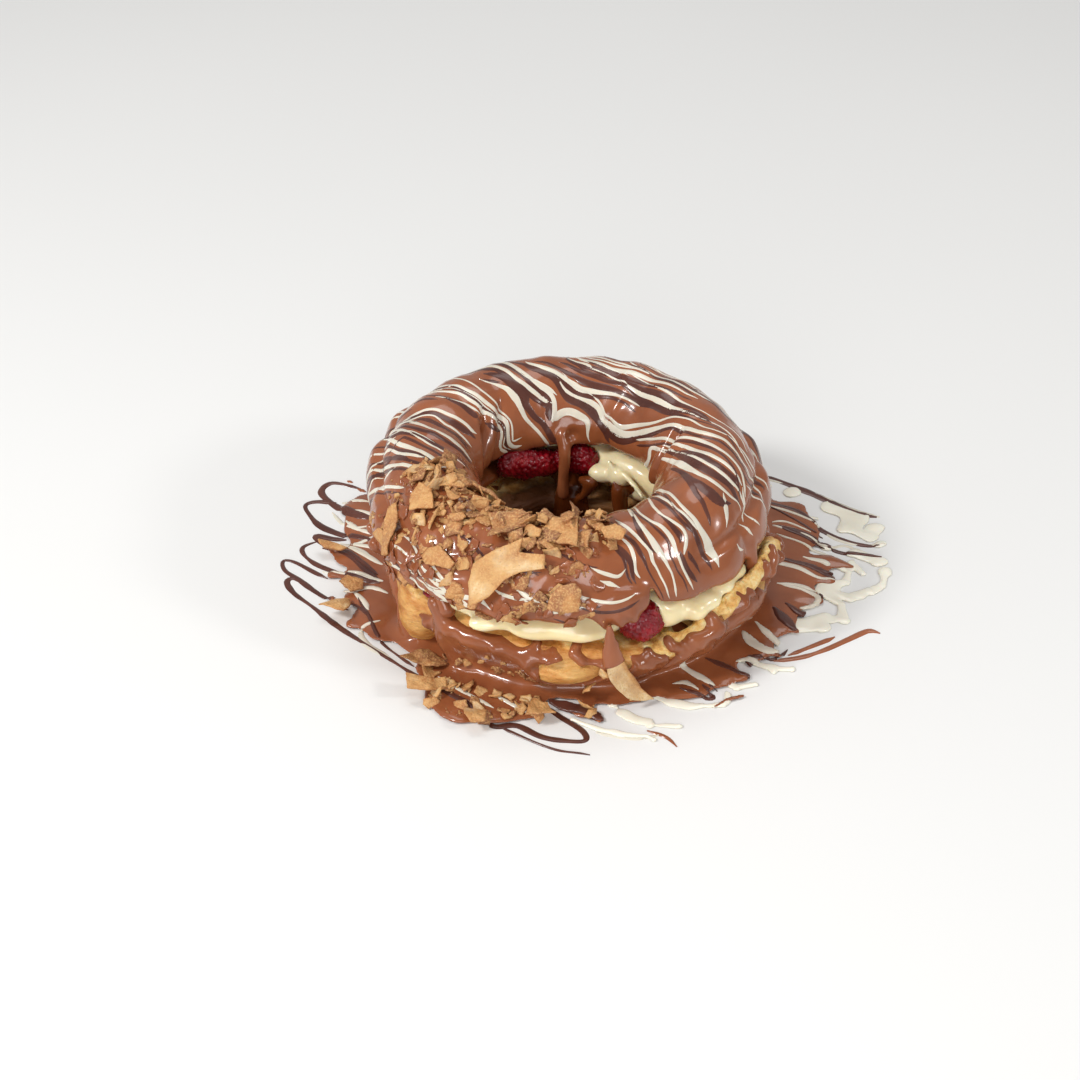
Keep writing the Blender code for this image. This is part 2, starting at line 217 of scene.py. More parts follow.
# ================================================================ voxels
class Block:
    """A box of voxels; its arrays hold signed distances in metres, negative inside."""

    def __init__(self, low, high, size):
        self.size = size
        self.first = np.floor(np.asarray(low, float) / size).astype(int)
        self.shape = tuple(np.ceil(np.asarray(high, float) / size).astype(int) - self.first + 1)
        axes = [(self.first[i] + np.arange(self.shape[i])) * size for i in range(3)]
        self.x = axes[0][:, None, None]
        self.y = axes[1][None, :, None]
        self.z = axes[2][None, None, :]

    def distance_to(self, points, triangles):
        grid = vdb.FloatGrid.createLevelSetFromPolygons(
            np.asarray(points, np.float32),
            triangles=np.asarray(triangles, np.uint32),
            transform=vdb.createLinearTransform(voxelSize=self.size),
            halfWidth=BAND,
        )
        out = np.empty(self.shape, np.float32)
        grid.copyToArray(out, ijk=tuple(int(i) for i in self.first))
        return out

    def part(self, low, high):
        """The slices of the voxels between two corners."""
        low = np.floor(np.asarray(low) / self.size).astype(int) - self.first
        high = np.ceil(np.asarray(high) / self.size).astype(int) - self.first + 1
        return tuple(slice(a, b) for a, b in zip(np.clip(low, 0, self.shape), np.clip(high, 0, self.shape)))

    def polar(self, centre):
        """Direction in degrees and radius of each column about a centre."""
        dx = self.x - centre[0]
        dy = self.y - centre[1]
        return np.degrees(np.arctan2(dy, dx)) % 360.0, np.hypot(dx, dy)

    def surface(self, name, field, adapt=0.0):
        """The object whose surface is where the field is zero; adapt gives flat stretches larger faces."""
        limit = BAND * self.size
        grid = vdb.FloatGrid(limit)
        grid.transform = vdb.createLinearTransform(voxelSize=self.size)
        grid.copyFromArray(
            np.ascontiguousarray(np.clip(field, -limit, limit), np.float32),
            ijk=tuple(int(i) for i in self.first),
            tolerance=0.0,
        )
        if adapt:
            points, triangles, quads = grid.convertToPolygons(isovalue=0.0, adaptivity=adapt)
            split = np.concatenate((quads[:, [0, 1, 2]], quads[:, [0, 2, 3]]))
            return mesh_from(name, points, np.concatenate((triangles, split)))
        points, quads = grid.convertToQuads(isovalue=0.0)
        return mesh_from(name, points, quads)


def blurred(field, passes=1):
    """The field averaged with its neighbours along each axis."""
    for _ in range(passes):
        for axis in range(3):
            padded = np.concatenate(
                (field.take([0], axis), field, field.take([-1], axis)), axis
            )
            n = field.shape[axis]
            index = [slice(None)] * 3
            parts = []
            for start in (0, 1, 2):
                index[axis] = slice(start, start + n)
                parts.append(padded[tuple(index)])
            field = 0.25 * parts[0] + 0.5 * parts[1] + 0.25 * parts[2]
    return field


def add_drip(block, field, path, blend):
    """Joins a run of balls to the field; path is rows of x, y, z and radius."""
    rows = np.array(path, float)
    reach = rows[:, 3].max() + 3 * blend
    part = block.part(rows[:, :3].min(0) - reach, rows[:, :3].max(0) + reach)
    x, y, z = block.x[part[0]], block.y[:, part[1]], block.z[:, :, part[2]]
    nearest = np.float32(1.0)
    for start, end in zip(rows, rows[1:]):
        run = end[:3] - start[:3]
        px, py, pz = x - start[0], y - start[1], z - start[2]
        along = np.clip((px * run[0] + py * run[1] + pz * run[2]) / max(run @ run, 1e-12), 0.0, 1.0)
        gap = np.sqrt((px - along * run[0]) ** 2 + (py - along * run[1]) ** 2 + (pz - along * run[2]) ** 2)
        nearest = np.minimum(nearest, gap - (start[3] + along * (end[3] - start[3])))
    field[part] = smooth_min(field[part], nearest, blend)
    return field


# ================================================================ materials
def new_material(name):
    made = bpy.data.materials.new(name)
    made.use_nodes = True
    nodes = made.node_tree.nodes
    return made, nodes, made.node_tree.links, nodes["Principled BSDF"]


def object_noise(nodes, links, scale, detail=3.0, roughness=0.55, distortion=0.0, flattened=1.0):
    """Noise laid out in the object's own metres; scale is lumps for each metre, more of them upward."""
    place = nodes.new("ShaderNodeTexCoord")
    squeeze = nodes.new("ShaderNodeMapping")
    squeeze.inputs["Scale"].default_value = (1.0, 1.0, flattened)
    links.new(place.outputs["Object"], squeeze.inputs["Vector"])
    made = nodes.new("ShaderNodeTexNoise")
    made.inputs["Scale"].default_value = scale
    made.inputs["Detail"].default_value = detail
    made.inputs["Roughness"].default_value = roughness
    made.inputs["Distortion"].default_value = distortion
    links.new(squeeze.outputs["Vector"], made.inputs["Vector"])
    return made.outputs["Fac"]


def colour_ramp(nodes, links, source, stops):
    """A ramp from rows of place and linear colour."""
    made = nodes.new("ShaderNodeValToRGB")
    elements = made.color_ramp.elements
    while len(elements) < len(stops):
        elements.new(0.5)
    for element, (place, colour) in zip(elements, stops):
        element.position = place
        element.color = (*colour, 1.0)
    links.new(source, made.inputs["Fac"])
    return made.outputs["Color"]


def mixed(nodes, links, share, first, second):
    """A mix of two colours, each a socket or a linear colour; share is a socket."""
    made = nodes.new("ShaderNodeMix")
    made.data_type = "RGBA"
    links.new(share, made.inputs[0])
    for source, socket in ((first, made.inputs[6]), (second, made.inputs[7])):
        if isinstance(source, tuple):
            socket.default_value = (*source, 1.0)
        else:
            links.new(source, socket)
    return made.outputs[2]


def bump_from(nodes, links, shader, height, strength, distance):
    made = nodes.new("ShaderNodeBump")
    made.inputs["Strength"].default_value = strength
    made.inputs["Distance"].default_value = distance
    links.new(height, made.inputs["Height"])
    links.new(made.outputs["Normal"], shader.inputs["Normal"])


def ranged(nodes, links, source, low, high):
    made = nodes.new("ShaderNodeMapRange")
    made.inputs["To Min"].default_value = low
    made.inputs["To Max"].default_value = high
    links.new(source, made.inputs["Value"])
    return made.outputs["Result"]


def attribute(nodes, name):
    """The number that mark gave each point, as a socket."""
    made = nodes.new("ShaderNodeAttribute")
    made.attribute_name = name
    return made.outputs["Fac"]


def set_values(shader, values):
    """Sets the constants of a shader's own sockets."""
    for name, value in values.items():
        shader.inputs[name].default_value = value


def chocolate(name, dark, light, roughness, coat):
    """Soft-set chocolate: slow changes of tone, darker as painted shade where the depth mark is set, with an
    uneven glossy skin.
    """
    made, nodes, links, shader = new_material(name)
    tone = object_noise(nodes, links, 55.0, 2.0, 0.5, 0.8)
    skin = colour_ramp(nodes, links, tone, ((0.35, dark), (0.68, light)))
    # Painted shade: the depth mark mixes the colour towards a darker brown where shade falls in the hole.
    depth = attribute(nodes, "depth")
    painted_shade_colour = (0.62 * dark[0], 0.50 * dark[1], 0.30 * dark[2])
    links.new(mixed(nodes, links, depth, skin, painted_shade_colour), shader.inputs["Base Color"])
    gloss = object_noise(nodes, links, 160.0, 2.0)
    links.new(ranged(nodes, links, gloss, roughness - 0.05, roughness + 0.07), shader.inputs["Roughness"])
    set_values(shader, {
        "Subsurface Weight": 0.12,
        "Subsurface Radius": (1.0, 0.5, 0.3),
        "Subsurface Scale": 0.0012,
        "Specular IOR Level": 0.30,
        "Coat Weight": coat,
        "Coat Roughness": 0.05,
    })
    bump_from(nodes, links, shader, object_noise(nodes, links, 420.0, 2.0), 0.12, 0.0004)
    return made


def choux_material():
    """Baked choux: golden, browner where it stands proud, pale and pitted at the cut, darkened in the hole by
    painted shade.
    """
    made, nodes, links, shader = new_material("choux")
    tone = object_noise(nodes, links, 70.0, 4.0, 0.62, 0.0, 1.9)
    crust = colour_ramp(nodes, links, tone, (
        (0.32, (0.34, 0.11, 0.018)),
        (0.43, (0.56, 0.225, 0.043)),
        (0.55, (0.70, 0.365, 0.10)),
        (0.70, (0.80, 0.51, 0.19)),
    ))
    crumb_tone = object_noise(nodes, links, 280.0, 4.0, 0.7)
    crumb = colour_ramp(nodes, links, crumb_tone, (
        (0.32, (0.56, 0.24, 0.045)),
        (0.44, (0.82, 0.46, 0.12)),
        (0.55, (0.94, 0.64, 0.25)),
        (0.70, (0.98, 0.82, 0.46)),
    ))
    dry = mixed(nodes, links, attribute(nodes, "crumb"), crust, crumb)
    # Painted shade: this mark mixes the dough towards a dark brown in the hole.
    skin = mixed(nodes, links, attribute(nodes, "hole_shade"), dry, (0.17, 0.060, 0.018))
    links.new(skin, shader.inputs["Base Color"])
    set_values(shader, {
        "Roughness": 0.45,
        "Coat Weight": 0.15,
        "Coat Roughness": 0.2,
        "Subsurface Weight": 0.2,
        "Subsurface Radius": (1.0, 0.5, 0.2),
        "Subsurface Scale": 0.0015,
    })
    bump_from(nodes, links, shader, object_noise(nodes, links, 330.0, 5.0, 0.68, 0.6, 3.2), 0.8, 0.0012)
    return made


def custard_material():
    made, nodes, links, shader = new_material("custard")
    tone = object_noise(nodes, links, 90.0, 2.0)
    links.new(colour_ramp(nodes, links, tone, (
        (0.35, (0.86, 0.70, 0.38)),
        (0.65, (0.92, 0.80, 0.50)),
    )), shader.inputs["Base Color"])
    set_values(shader, {
        "Roughness": 0.24,
        "Coat Weight": 0.3,
        "Coat Roughness": 0.06,
        "Subsurface Weight": 0.35,
        "Subsurface Radius": (1.0, 0.7, 0.35),
        "Subsurface Scale": 0.003,
    })
    bump_from(nodes, links, shader, object_noise(nodes, links, 350.0, 2.0), 0.2, 0.0004)
    return made


def berry_material():
    made, nodes, links, shader = new_material("strawberry")
    tone = object_noise(nodes, links, 260.0, 3.0)
    links.new(colour_ramp(nodes, links, tone, (
        (0.30, (0.12, 0.001, 0.005)),
        (0.60, (0.25, 0.004, 0.010)),
        (0.80, (0.40, 0.014, 0.018)),
    )), shader.inputs["Base Color"])
    set_values(shader, {
        "Roughness": 0.22,
        "Subsurface Weight": 0.2,
        "Subsurface Radius": (1.0, 0.15, 0.1),
        "Subsurface Scale": 0.002,
        "Specular IOR Level": 0.3,
        "Coat Weight": 0.25,
        "Coat Roughness": 0.05,
    })
    bump_from(nodes, links, shader, object_noise(nodes, links, 1100.0, 2.0), 0.5, 0.0005)
    return made


def wafer_material():
    """Toasted wafer: each piece has its own tone, browner in blotches, with a sandy skin."""
    made, nodes, links, shader = new_material("wafer")
    pieces = colour_ramp(nodes, links, attribute(nodes, "tone"), (
        (0.0, (0.20, 0.070, 0.028)),
        (0.30, (0.36, 0.150, 0.055)),
        (0.55, (0.55, 0.255, 0.082)),
        (0.80, (0.64, 0.36, 0.135)),
        (1.0, (0.80, 0.60, 0.34)),
    ))
    blotch = object_noise(nodes, links, 150.0, 3.0, 0.6)
    toast = ranged(nodes, links, blotch, -0.80, 1.25)
    browned = mixed(nodes, links, toast, pieces, (0.36, 0.125, 0.034))
    grain = object_noise(nodes, links, 1500.0, 2.0, 0.6)
    pale = mixed(nodes, links, ranged(nodes, links, grain, -1.5, 1.9), browned, (0.66, 0.39, 0.155))
    spots = object_noise(nodes, links, 1100.0, 3.0, 0.7)
    dark_spots = ranged(nodes, links, spots, 1.7, -2.6)
    links.new(mixed(nodes, links, dark_spots, pale, (0.27, 0.098, 0.030)), shader.inputs["Base Color"])
    set_values(shader, {
        "Roughness": 0.6,
        "Subsurface Weight": 0.1,
        "Subsurface Radius": (1.0, 0.5, 0.2),
        "Subsurface Scale": 0.001,
    })
    flaky = object_noise(nodes, links, 700.0, 4.0, 0.7)
    bump_from(nodes, links, shader, flaky, 0.9, 0.0008)
    return made


def floor_material():
    made, nodes, links, shader = new_material("floor")
    tone = object_noise(nodes, links, 3.0, 1.0)
    links.new(colour_ramp(nodes, links, tone, (
        (0.0, (0.74, 0.735, 0.72)),
        (1.0, (0.78, 0.775, 0.76)),
    )), shader.inputs["Base Color"])
    shader.inputs["Roughness"].default_value = 0.5
    return made


def in_metres(rows):
    """Rows of numbers given in mm."""
    return [tuple(v * MM for v in row) for row in rows]


def mark(obj, name, values):
    """Gives each point of an object a number that its material reads."""
    layer = obj.data.attributes.new(name, "FLOAT", "POINT")
    layer.data.foreach_set("value", np.asarray(values, np.float32))


def finish(obj, material, slot, *nodes):
    """Gives a piece its material and its body, and hides the CAD nodes it stands for; slot is not used."""
    obj.data.materials.clear()
    obj.data.materials.append(material)
    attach(obj, "root")
    if nodes:
        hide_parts(*nodes)
    return obj


# ================================================================ the upper half
def heights_round(node, inner, outer, highest):
    """Heights of a CAD node's lowest or highest points between two radii, as a function of direction."""
    co = points_of(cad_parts[node].data)
    angle = np.degrees(np.arctan2(co[:, 1], co[:, 0])) % 360.0
    radius = np.hypot(co[:, 0], co[:, 1])
    chosen = (radius > inner) & (radius < outer)
    bins = np.arange(0.0, 360.0, 6.0)
    found = []
    for start in bins:
        near = chosen & (np.abs(away(angle, start)) < 5.0)
        heights = co[near, 2]
        found.append(heights.max() if highest else heights.min())
    return lambda direction: np.interp(direction, bins, found, period=360.0)


def lid_section(block):
    """Direction, radius and section angle of each voxel; the section angle is -90 under the outer
    side, 0 outward, 90 on top and 180 towards the hole."""
    angle, radius = block.polar(LID_CENTRE)
    lift = LID_SLOPE * radius * np.cos(np.radians(angle - LID_SLOPE_TO))
    section = np.degrees(np.arctan2(block.z - HEART_HEIGHT - lift, radius - HEART_RADIUS))
    return angle, radius, away(section, 90.0) + 90.0


OUTER_LUMPS = 17
SEAM_SECTION = 24.0                   # where the top strand lies on the outer one
SEAM_GAP = 268.5                      # the seam doesn't show round this direction,
SEAM_GAP_REACH = 53.5                 # as many degrees to each side
HOLE_CREASES = (                      # direction, depth, width and lean of the folds in the hole's wall
    (138.0, 3.2 * MM, 1.9, 0.30),
    (126.0, 1.8 * MM, 1.8, 0.25),
    (15.0, 2.8 * MM, 2.0, -0.15),
    (2.0, 1.0 * MM, 1.8, 0.0),
    (104.0, 0.7 * MM, 2.5, 0.0),
    (62.0, 0.9 * MM, 3.0, 0.10),
    (250.0, 1.2 * MM, 2.2, 0.0),
    (205.0, 1.4 * MM, 2.2, 0.0),
    (320.0, 1.0 * MM, 2.2, 0.0),
)
LEFT_LUMPS = 155.0                    # the outer strand's lumps are deepest round this direction


def lid_relief(angle, section):
    """How far the coat stands out from the CAD's lid: lumps of the outer strand, its seam and folds."""
    turned = angle + 3.0 * np.sin(np.radians(3.0 * angle + 40.0)) + 2.0 * np.sin(np.radians(7.0 * angle))
    lump = np.abs(np.cos(np.radians(0.5 * OUTER_LUMPS * turned))) ** 0.55
    on_outer = step_up(SEAM_SECTION + 4.0 - section, 0.0, 14.0)
    aside = away(angle, SEAM_GAP)
    starts = step_up(aside + SEAM_GAP_REACH, 0.0, 14.0)
    ends = step_up(SEAM_GAP_REACH - aside, 0.0, 14.0)
    seam_shows = 1.0 - starts * ends
    lumps_show = 0.30 + 0.55 * seam_shows + 0.75 * hump(away(angle, LEFT_LUMPS), 48.0)
    relief = on_outer * lumps_show * (2.2 * lump - 1.5) * MM
    relief = relief + on_outer * seam_shows * 1.2 * MM
    relief = relief - seam_shows * 1.5 * MM * hump(section - SEAM_SECTION, 4.0)
    on_inner = step_up(section, 108.0, 128.0)
    for centre, depth, width, lean in HOLE_CREASES:
        gap = away(angle, centre + lean * (section - 120.0))
        swell = np.where(gap > 0, np.exp(-np.abs(gap) / 7.0), 0.0) * depth * 0.55
        relief = relief + on_inner * (swell - depth * hump(gap, width))
    return relief


GLAZE_RIM_LIFT = 0.5 * MM             # the coat stops this far above the lid's cut face
DOUGH_DEPTH = 2.7 * MM                # of the dough under the coat
BARE_RIM = (                          # direction, half width and how much more dough shows there
    (273.5, 4.0, 3.0 * MM),
    (293.5, 1.8, 6.0 * MM),
    (336.0, 8.0, 1.2 * MM),
    (60.0, 9.0, 1.4 * MM),
    (128.0, 6.0, 1.6 * MM),
)
TONGUE = (16.5 * MM, -61.8 * MM, 36.5 * MM)            # middle of the broad flap at the front
TONGUE_RADII = (2.7 * MM, 8.4 * MM, 6.2 * MM)
TONGUE_FACES = math.radians(284.0)
# Drips that hang from the coat, as x, y, z and radius in mm, from the top down
LID_DRIPS = (
    ((8.5, -62.0, 36, 2.2), (10.2, -63.8, 32.0, 2.0), (11.2, -64.2, 29.6, 1.1)),
    ((12.5, -61.5, 37, 2.4), (14.5, -63.6, 33.5, 2.3), (15.6, -64.0, 31.0, 1.5)),
    ((17.0, -60.5, 38, 2.4), (18.8, -62.8, 34.5, 2.2), (20.0, -62.8, 32.3, 1.6)),
    ((-39.5, -43.5, 34, 2.4), (-40.5, -45.2, 28, 2.1), (-39.0, -46.6, 23.6, 2.3)),
    ((57.5, -28.0, 36, 2.2), (58.5, -28.5, 31, 1.6), (58.6, -28.6, 27.6, 1.4)),
    ((47.0, 42.0, 36, 2.6), (47.5, 42.6, 30, 2.0), (47.6, 42.7, 26.5, 1.8)),
    ((-20.0, 62.0, 36, 2.6), (-20.4, 62.6, 30, 2.0), (-20.5, 62.8, 25.0, 1.9)),
    ((-58.5, 22.0, 36, 2.4), (-59.4, 22.6, 30, 1.8), (-59.4, 22.8, 25.5, 1.7)),
    ((-1.0, 30.5, 40, 2.6), (-1.0, 27.9, 35, 2.3), (-1.2, 27.4, 28, 2.0), (-1.6, 27.6, 19, 2.2)),
)
DIMPLE = (1.5 * MM, 29.0 * MM, 41.5 * MM, 2.5 * MM)   # x, y, z and radius of the bare spot


OUTER_RIM = heights_round("choux_lid", 60 * MM, 70 * MM, False)
INNER_RIM = heights_round("choux_lid", 24 * MM, 34 * MM, False)


def lid_bottom_field(block, angle, radius, extra):
    """Signed height below the coat's lower edge, which runs between the lid's two rims."""
    share = np.clip((radius - 30 * MM) / (32 * MM), 0.0, 1.0)
    return INNER_RIM(angle) + (OUTER_RIM(angle) - INNER_RIM(angle)) * share + extra - block.z


def make_lid(looks):
    """The coat with its drips, and the baked dough that shows where the coat stops."""
    margin = Vector((4 * MM, 4 * MM, 4 * MM))
    block = Block(LID_LOW - margin - Vector((0, 0, 14 * MM)), LID_HIGH + margin, FINE)
    shell = blurred(block.distance_to(*cad_surface("choux_lid", 2)), 2)
    angle, radius, section = lid_section(block)
    uneven = sum(size * hump(away(angle, centre), width) for centre, width, size in BARE_RIM)
    wave = 0.35 * MM * (np.sin(np.radians(11 * angle)) + np.sin(np.radians(23 * angle + 50.0)))
    edge = lid_bottom_field(block, angle, radius, GLAZE_RIM_LIFT + wave + uneven)
    coat = smooth_max(shell - lid_relief(angle, section), edge, 1.6 * MM)
    coat = add_lump(block, coat, TONGUE, TONGUE_RADII, TONGUE_FACES, 2.2 * MM)
    for drip in LID_DRIPS:
        coat = add_drip(block, coat, in_metres(drip), 1.8 * MM)
    x, y, z, size = DIMPLE
    pit = np.sqrt((block.x - x) ** 2 + (block.y - y) ** 2 + (block.z - z) ** 2) - size
    coat = smooth_max(coat, -pit, 1.0 * MM)
    glaze = block.surface("glaze", blurred(coat))
    co = points_of(glaze.data)
    out = normals_of(glaze.data)
    swell = 0.55 * MM * rough(co, 15 * MM, 3) + 0.10 * MM * noise(co, 4 * MM, 9)
    heaped = hump(away(np.degrees(np.arctan2(co[:, 1], co[:, 0])) % 360.0, HEAP_MIDDLE - 3.0), 38.0)
    swell = swell + heaped * 1.0 * MM * rough(co, 6.5 * MM, 12, 2)
    move_points(glaze.data, co + out * swell[:, None])
    finish(glaze, looks["milk"], "milk_chocolate", "choux_lid")

    low = Block(LID_LOW - margin, LID_HIGH + margin, COARSE)
    dough = low.surface("lid_dough", low.distance_to(*cad_surface("choux_lid", 1)) + DOUGH_DEPTH)
    co = points_of(dough.data)
    move_points(dough.data, co + normals_of(dough.data) * (0.5 * MM * rough(co, 5 * MM, 21))[:, None])
    mark(dough, "crumb", np.full(len(co), 0.35))
    finish(dough, looks["choux"], "choux")
    return glaze


# ================================================================ the lower half
CRUMB_DEPTH = 1.6 * MM                # bare crumb shows this far down from the cut
BASE_BULGES = (                       # direction, height, half width, half height and reach, in mm
    (265.0, 11.0, 11.5, 4.6, 3.4),
    (209.0, 12.0, 9.0, 12.0, 3.0),
    (25.0, 9.0, 12.0, 6.5, 2.2),
    (62.0, 9.5, 11.0, 7.0, 2.4),
    (98.0, 9.0, 12.0, 6.5, 2.0),
    (135.0, 9.5, 11.0, 7.0, 2.4),
    (170.0, 9.0, 11.0, 7.0, 2.2),
)
TORN_EDGE = (                         # direction, radius, height and thickness of the right-hand cut, in mm
    (285.0, 60.5, 16.5, 1.0),
    (291.0, 62.0, 17.5, 1.3),
    (297.0, 61.0, 18.0, 1.7),
    (303.0, 62.8, 20.0, 1.3),
    (309.0, 62.0, 22.5, 1.8),
    (315.0, 63.6, 25.0, 1.2),
    (322.0, 63.0, 27.5, 1.8),
    (329.0, 64.2, 29.0, 1.2),
    (336.0, 63.6, 29.5, 1.6),
    (343.0, 64.2, 29.0, 1.3),
    (350.0, 63.0, 25.5, 1.5),
    (358.0, 62.0, 21.0, 1.2),
)
TORN_BAND = 2.8 * MM                  # the torn crumb reaches this far below that edge
UNDERCUT = (283.0, 357.0)             # between these directions the lower half stands free of the pool
UNDERCUT_DEPTH = 11.0 * MM
UNDERCUT_TOP = 15.0 * MM


def undercut_share(angle):
    """1 where the lower half stands free of the pool, 0 elsewhere."""
    return step_up(away(angle, UNDERCUT[0]), 0.0, 10.0) * step_up(-away(angle, UNDERCUT[1]), 0.0, 12.0)


def round_base(direction, radius, height):
    """The point at a direction, radius and height about the lower half's centre; mm in, metres out."""
    turn = math.radians(direction)
    x = BASE_CENTRE.x + radius * MM * math.cos(turn)
    y = BASE_CENTRE.y + radius * MM * math.sin(turn)
    return x, y, height * MM


def add_lump(block, field, centre, radii, turn, blend):
    """Joins an ellipsoid to the field; radii run outward, sideways and up after the turn."""
    reach = max(radii) + 2 * blend
    part = block.part(np.asarray(centre) - reach, np.asarray(centre) + reach)
    px = block.x[part[0]] - centre[0]
    py = block.y[:, part[1]] - centre[1]
    pz = block.z[:, :, part[2]] - centre[2]
    c, s = math.cos(turn), math.sin(turn)
    out, side = c * px + s * py, c * py - s * px
    share = np.sqrt((out / radii[0]) ** 2 + (side / radii[1]) ** 2 + (pz / radii[2]) ** 2)
    field[part] = smooth_min(field[part], (share - 1.0) * min(radii), blend)
    return field


def base_shape(block):
    """The lower half before its skin is roughened."""
    dough = blurred(block.distance_to(*cad_surface("choux_base", 1)), 2)
    wall = (BASE_HIGH.x - BASE_LOW.x) / 2 / MM
    for direction, height, wide, tall, reach in BASE_BULGES:
        centre = round_base(direction, wall - 5.0, height)
        radii = ((5.0 + 0.55 * reach) * MM, wide * MM, tall * MM)
        dough = add_lump(block, dough, centre, radii, math.radians(direction), 1.5 * MM)
    edge = [(*round_base(*row[:3]), row[3] * MM) for row in TORN_EDGE]
    band = [(x, y, z - TORN_BAND, thick + 1.2 * MM) for x, y, z, thick in edge[1:-1]]
    dough = add_drip(block, dough, band, 3.0 * MM)
    dough = add_drip(block, dough, edge, 2.4 * MM)
    angle, radius = block.polar(BASE_CENTRE)
    free = undercut_share(angle)
    foot = 1.0 - step_up(block.z, 3 * MM, UNDERCUT_TOP + 2.0 * MM * np.sin(np.radians(15 * angle)))
    limit = 67 * MM - UNDERCUT_DEPTH * foot * free + 20 * MM * (1.0 - free)
    dough = smooth_max(dough, radius - limit, 2.0 * MM)
    return smooth_max(dough, 0.3 * MM - block.z, 0.5 * MM)


def make_base(looks):
    """Golden skin with fine ridges, torn open crumb along the cut, and painted shade on the dough in the
    hole.
    """
    margin = Vector((5 * MM, 5 * MM, 8 * MM))
    block = Block(BASE_LOW - margin, BASE_HIGH + margin, FINE)
    shape = base_shape(block)
    base = block.surface("base_dough", shape)
    co = points_of(base.data)
    out = normals_of(base.data)
    angle = np.degrees(np.arctan2(co[:, 1] - BASE_CENTRE.y, co[:, 0] - BASE_CENTRE.x)) % 360.0
    cut = heights_round("choux_base", 0.0, 1.0, True)(angle)
    radius = np.hypot(co[:, 0] - BASE_CENTRE.x, co[:, 1] - BASE_CENTRE.y)
    torn = np.interp(angle, [row[0] for row in TORN_EDGE[:-1]], [row[2] * MM for row in TORN_EDGE[:-1]])
    on_torn = step_up(radius, 57 * MM, 61 * MM) * (angle > 290.0) * (angle < 355.0)
    cut = np.where(on_torn > 0.5, torn, cut)
    ragged = 1.6 * MM * rough(co, 5 * MM, 40, 2)
    depth = CRUMB_DEPTH + TORN_BAND * on_torn
    crumb = step_up(co[:, 2] - cut + ragged + depth, -0.8 * MM, 0.8 * MM)
    holes = np.clip(noise(co, 3.0 * MM, 44) - 0.22, 0.0, 1.0)
    torn_crumb = 0.9 * MM * rough(co, 6.0 * MM, 46, 3) - 2.4 * MM * holes
    wrinkles = np.sin(co[:, 2] / (0.30 * MM) + 3.0 * noise(co, 9 * MM, 52))
    skin = 0.35 * MM * rough(co, 8 * MM, 50) + 0.13 * MM * wrinkles
    swell = crumb * torn_crumb + (1 - crumb) * skin
    swell = swell * step_up(co[:, 2], 0.0, 2.0 * MM)
    move_points(base.data, co + out * swell[:, None])
    mark(base, "crumb", crumb)
    # Painted shade: 1 in the hole, with less of it on the wall round direction 40.
    behind = hump(away(angle, 40.0), 38.0)
    mark(base, "hole_shade", (1.0 - 0.55 * behind) * (1.0 - step_up(radius, 33 * MM, 42 * MM)))
    finish(base, looks["choux"], "choux", "choux_base")
    return base


# ================================================================ custard
CUSTARD_LUMPS = (                     # x, y, z and the three radii of each blob, in mm
    (39.6, -47.6, 25.6, 4.6, 4.6, 4.2),
    (43.0, -44.5, 26.6, 5.0, 4.0, 3.2),
    (48.5, -38.5, 28.0, 4.6, 4.2, 2.6),
    (53.0, -32.0, 29.0, 4.0, 5.0, 2.2),
    (4.0, -59.5, 24.0, 9.0, 3.4, 3.0),
    (-10.0, -58.8, 24.2, 9.0, 3.0, 2.8),
    (-24.0, -54.5, 24.6, 8.0, 3.2, 2.4),
    (11.0, 26.8, 27.4, 3.6, 4.4, 3.4),
    (18.0, 22.0, 29.0, 2.4, 4.0, 3.0),
    (57.0, 12.0, 26.5, 4.5, 7.0, 2.6),
    (30.0, 53.0, 26.0, 8.0, 4.5, 2.8),
    (-34.0, 50.0, 27.0, 7.0, 5.0, 2.6),
    (-59.0, 8.0, 27.2, 4.0, 8.0, 2.2),
)
CREAM_EDGE = (                        # direction and radius where the cream ends in the hole, in mm
    (0, 35), (12, 34), (26, 30), (66, 30), (78, 35), (88, 39), (340, 39), (352, 37),
)
CREAM_PEAKS = (                       # runs of x, y, z and radius, in mm
    ((16.0, 23.0, 28.0, 2.0), (14.6, 24.0, 32.0, 1.2), (13.4, 24.8, 34.6, 0.5)),
    ((16.5, 22.5, 29.0, 1.8), (19.5, 19.5, 31.0, 1.3), (22.5, 16.0, 29.5, 1.1), (25.0, 12.5, 27.0, 0.9)),
    ((18.5, 21.5, 28.0, 1.5), (18.2, 20.6, 32.0, 0.5)),
    ((44.5, -42.0, 28.0, 2.0), (50.0, -37.0, 30.5, 1.6), (55.0, -30.5, 32.0, 0.8)),
)


def make_custard(looks):
    low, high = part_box("custard")
    margin = Vector((6 * MM, 6 * MM, 9 * MM))
    block = Block(low - margin, high + margin, COARSE * 0.75)
    cream = blurred(block.distance_to(*cad_surface("custard", 1)), 4)
    angle, radius = block.polar((0.0, 0.0))
    cream = smooth_max(cream, heights_from(CREAM_EDGE, angle) - radius, 2.0 * MM)
    for x, y, z, *radii in CUSTARD_LUMPS:
        turn = 0.0 if abs(y) > 40 else math.atan2(y, x)
        along = tuple(r * MM for r in radii)
        cream = add_lump(block, cream, (x * MM, y * MM, z * MM), along, turn, 2.0 * MM)
    for peak in CREAM_PEAKS:
        cream = add_drip(block, cream, in_metres(peak), 1.2 * MM)
    custard = block.surface("cream", cream)
    co = points_of(custard.data)
    swell = 0.9 * MM * rough(co, 10 * MM, 60, 2)
    move_points(custard.data, co + normals_of(custard.data) * swell[:, None])
    return finish(custard, looks["custard"], "custard", "custard")


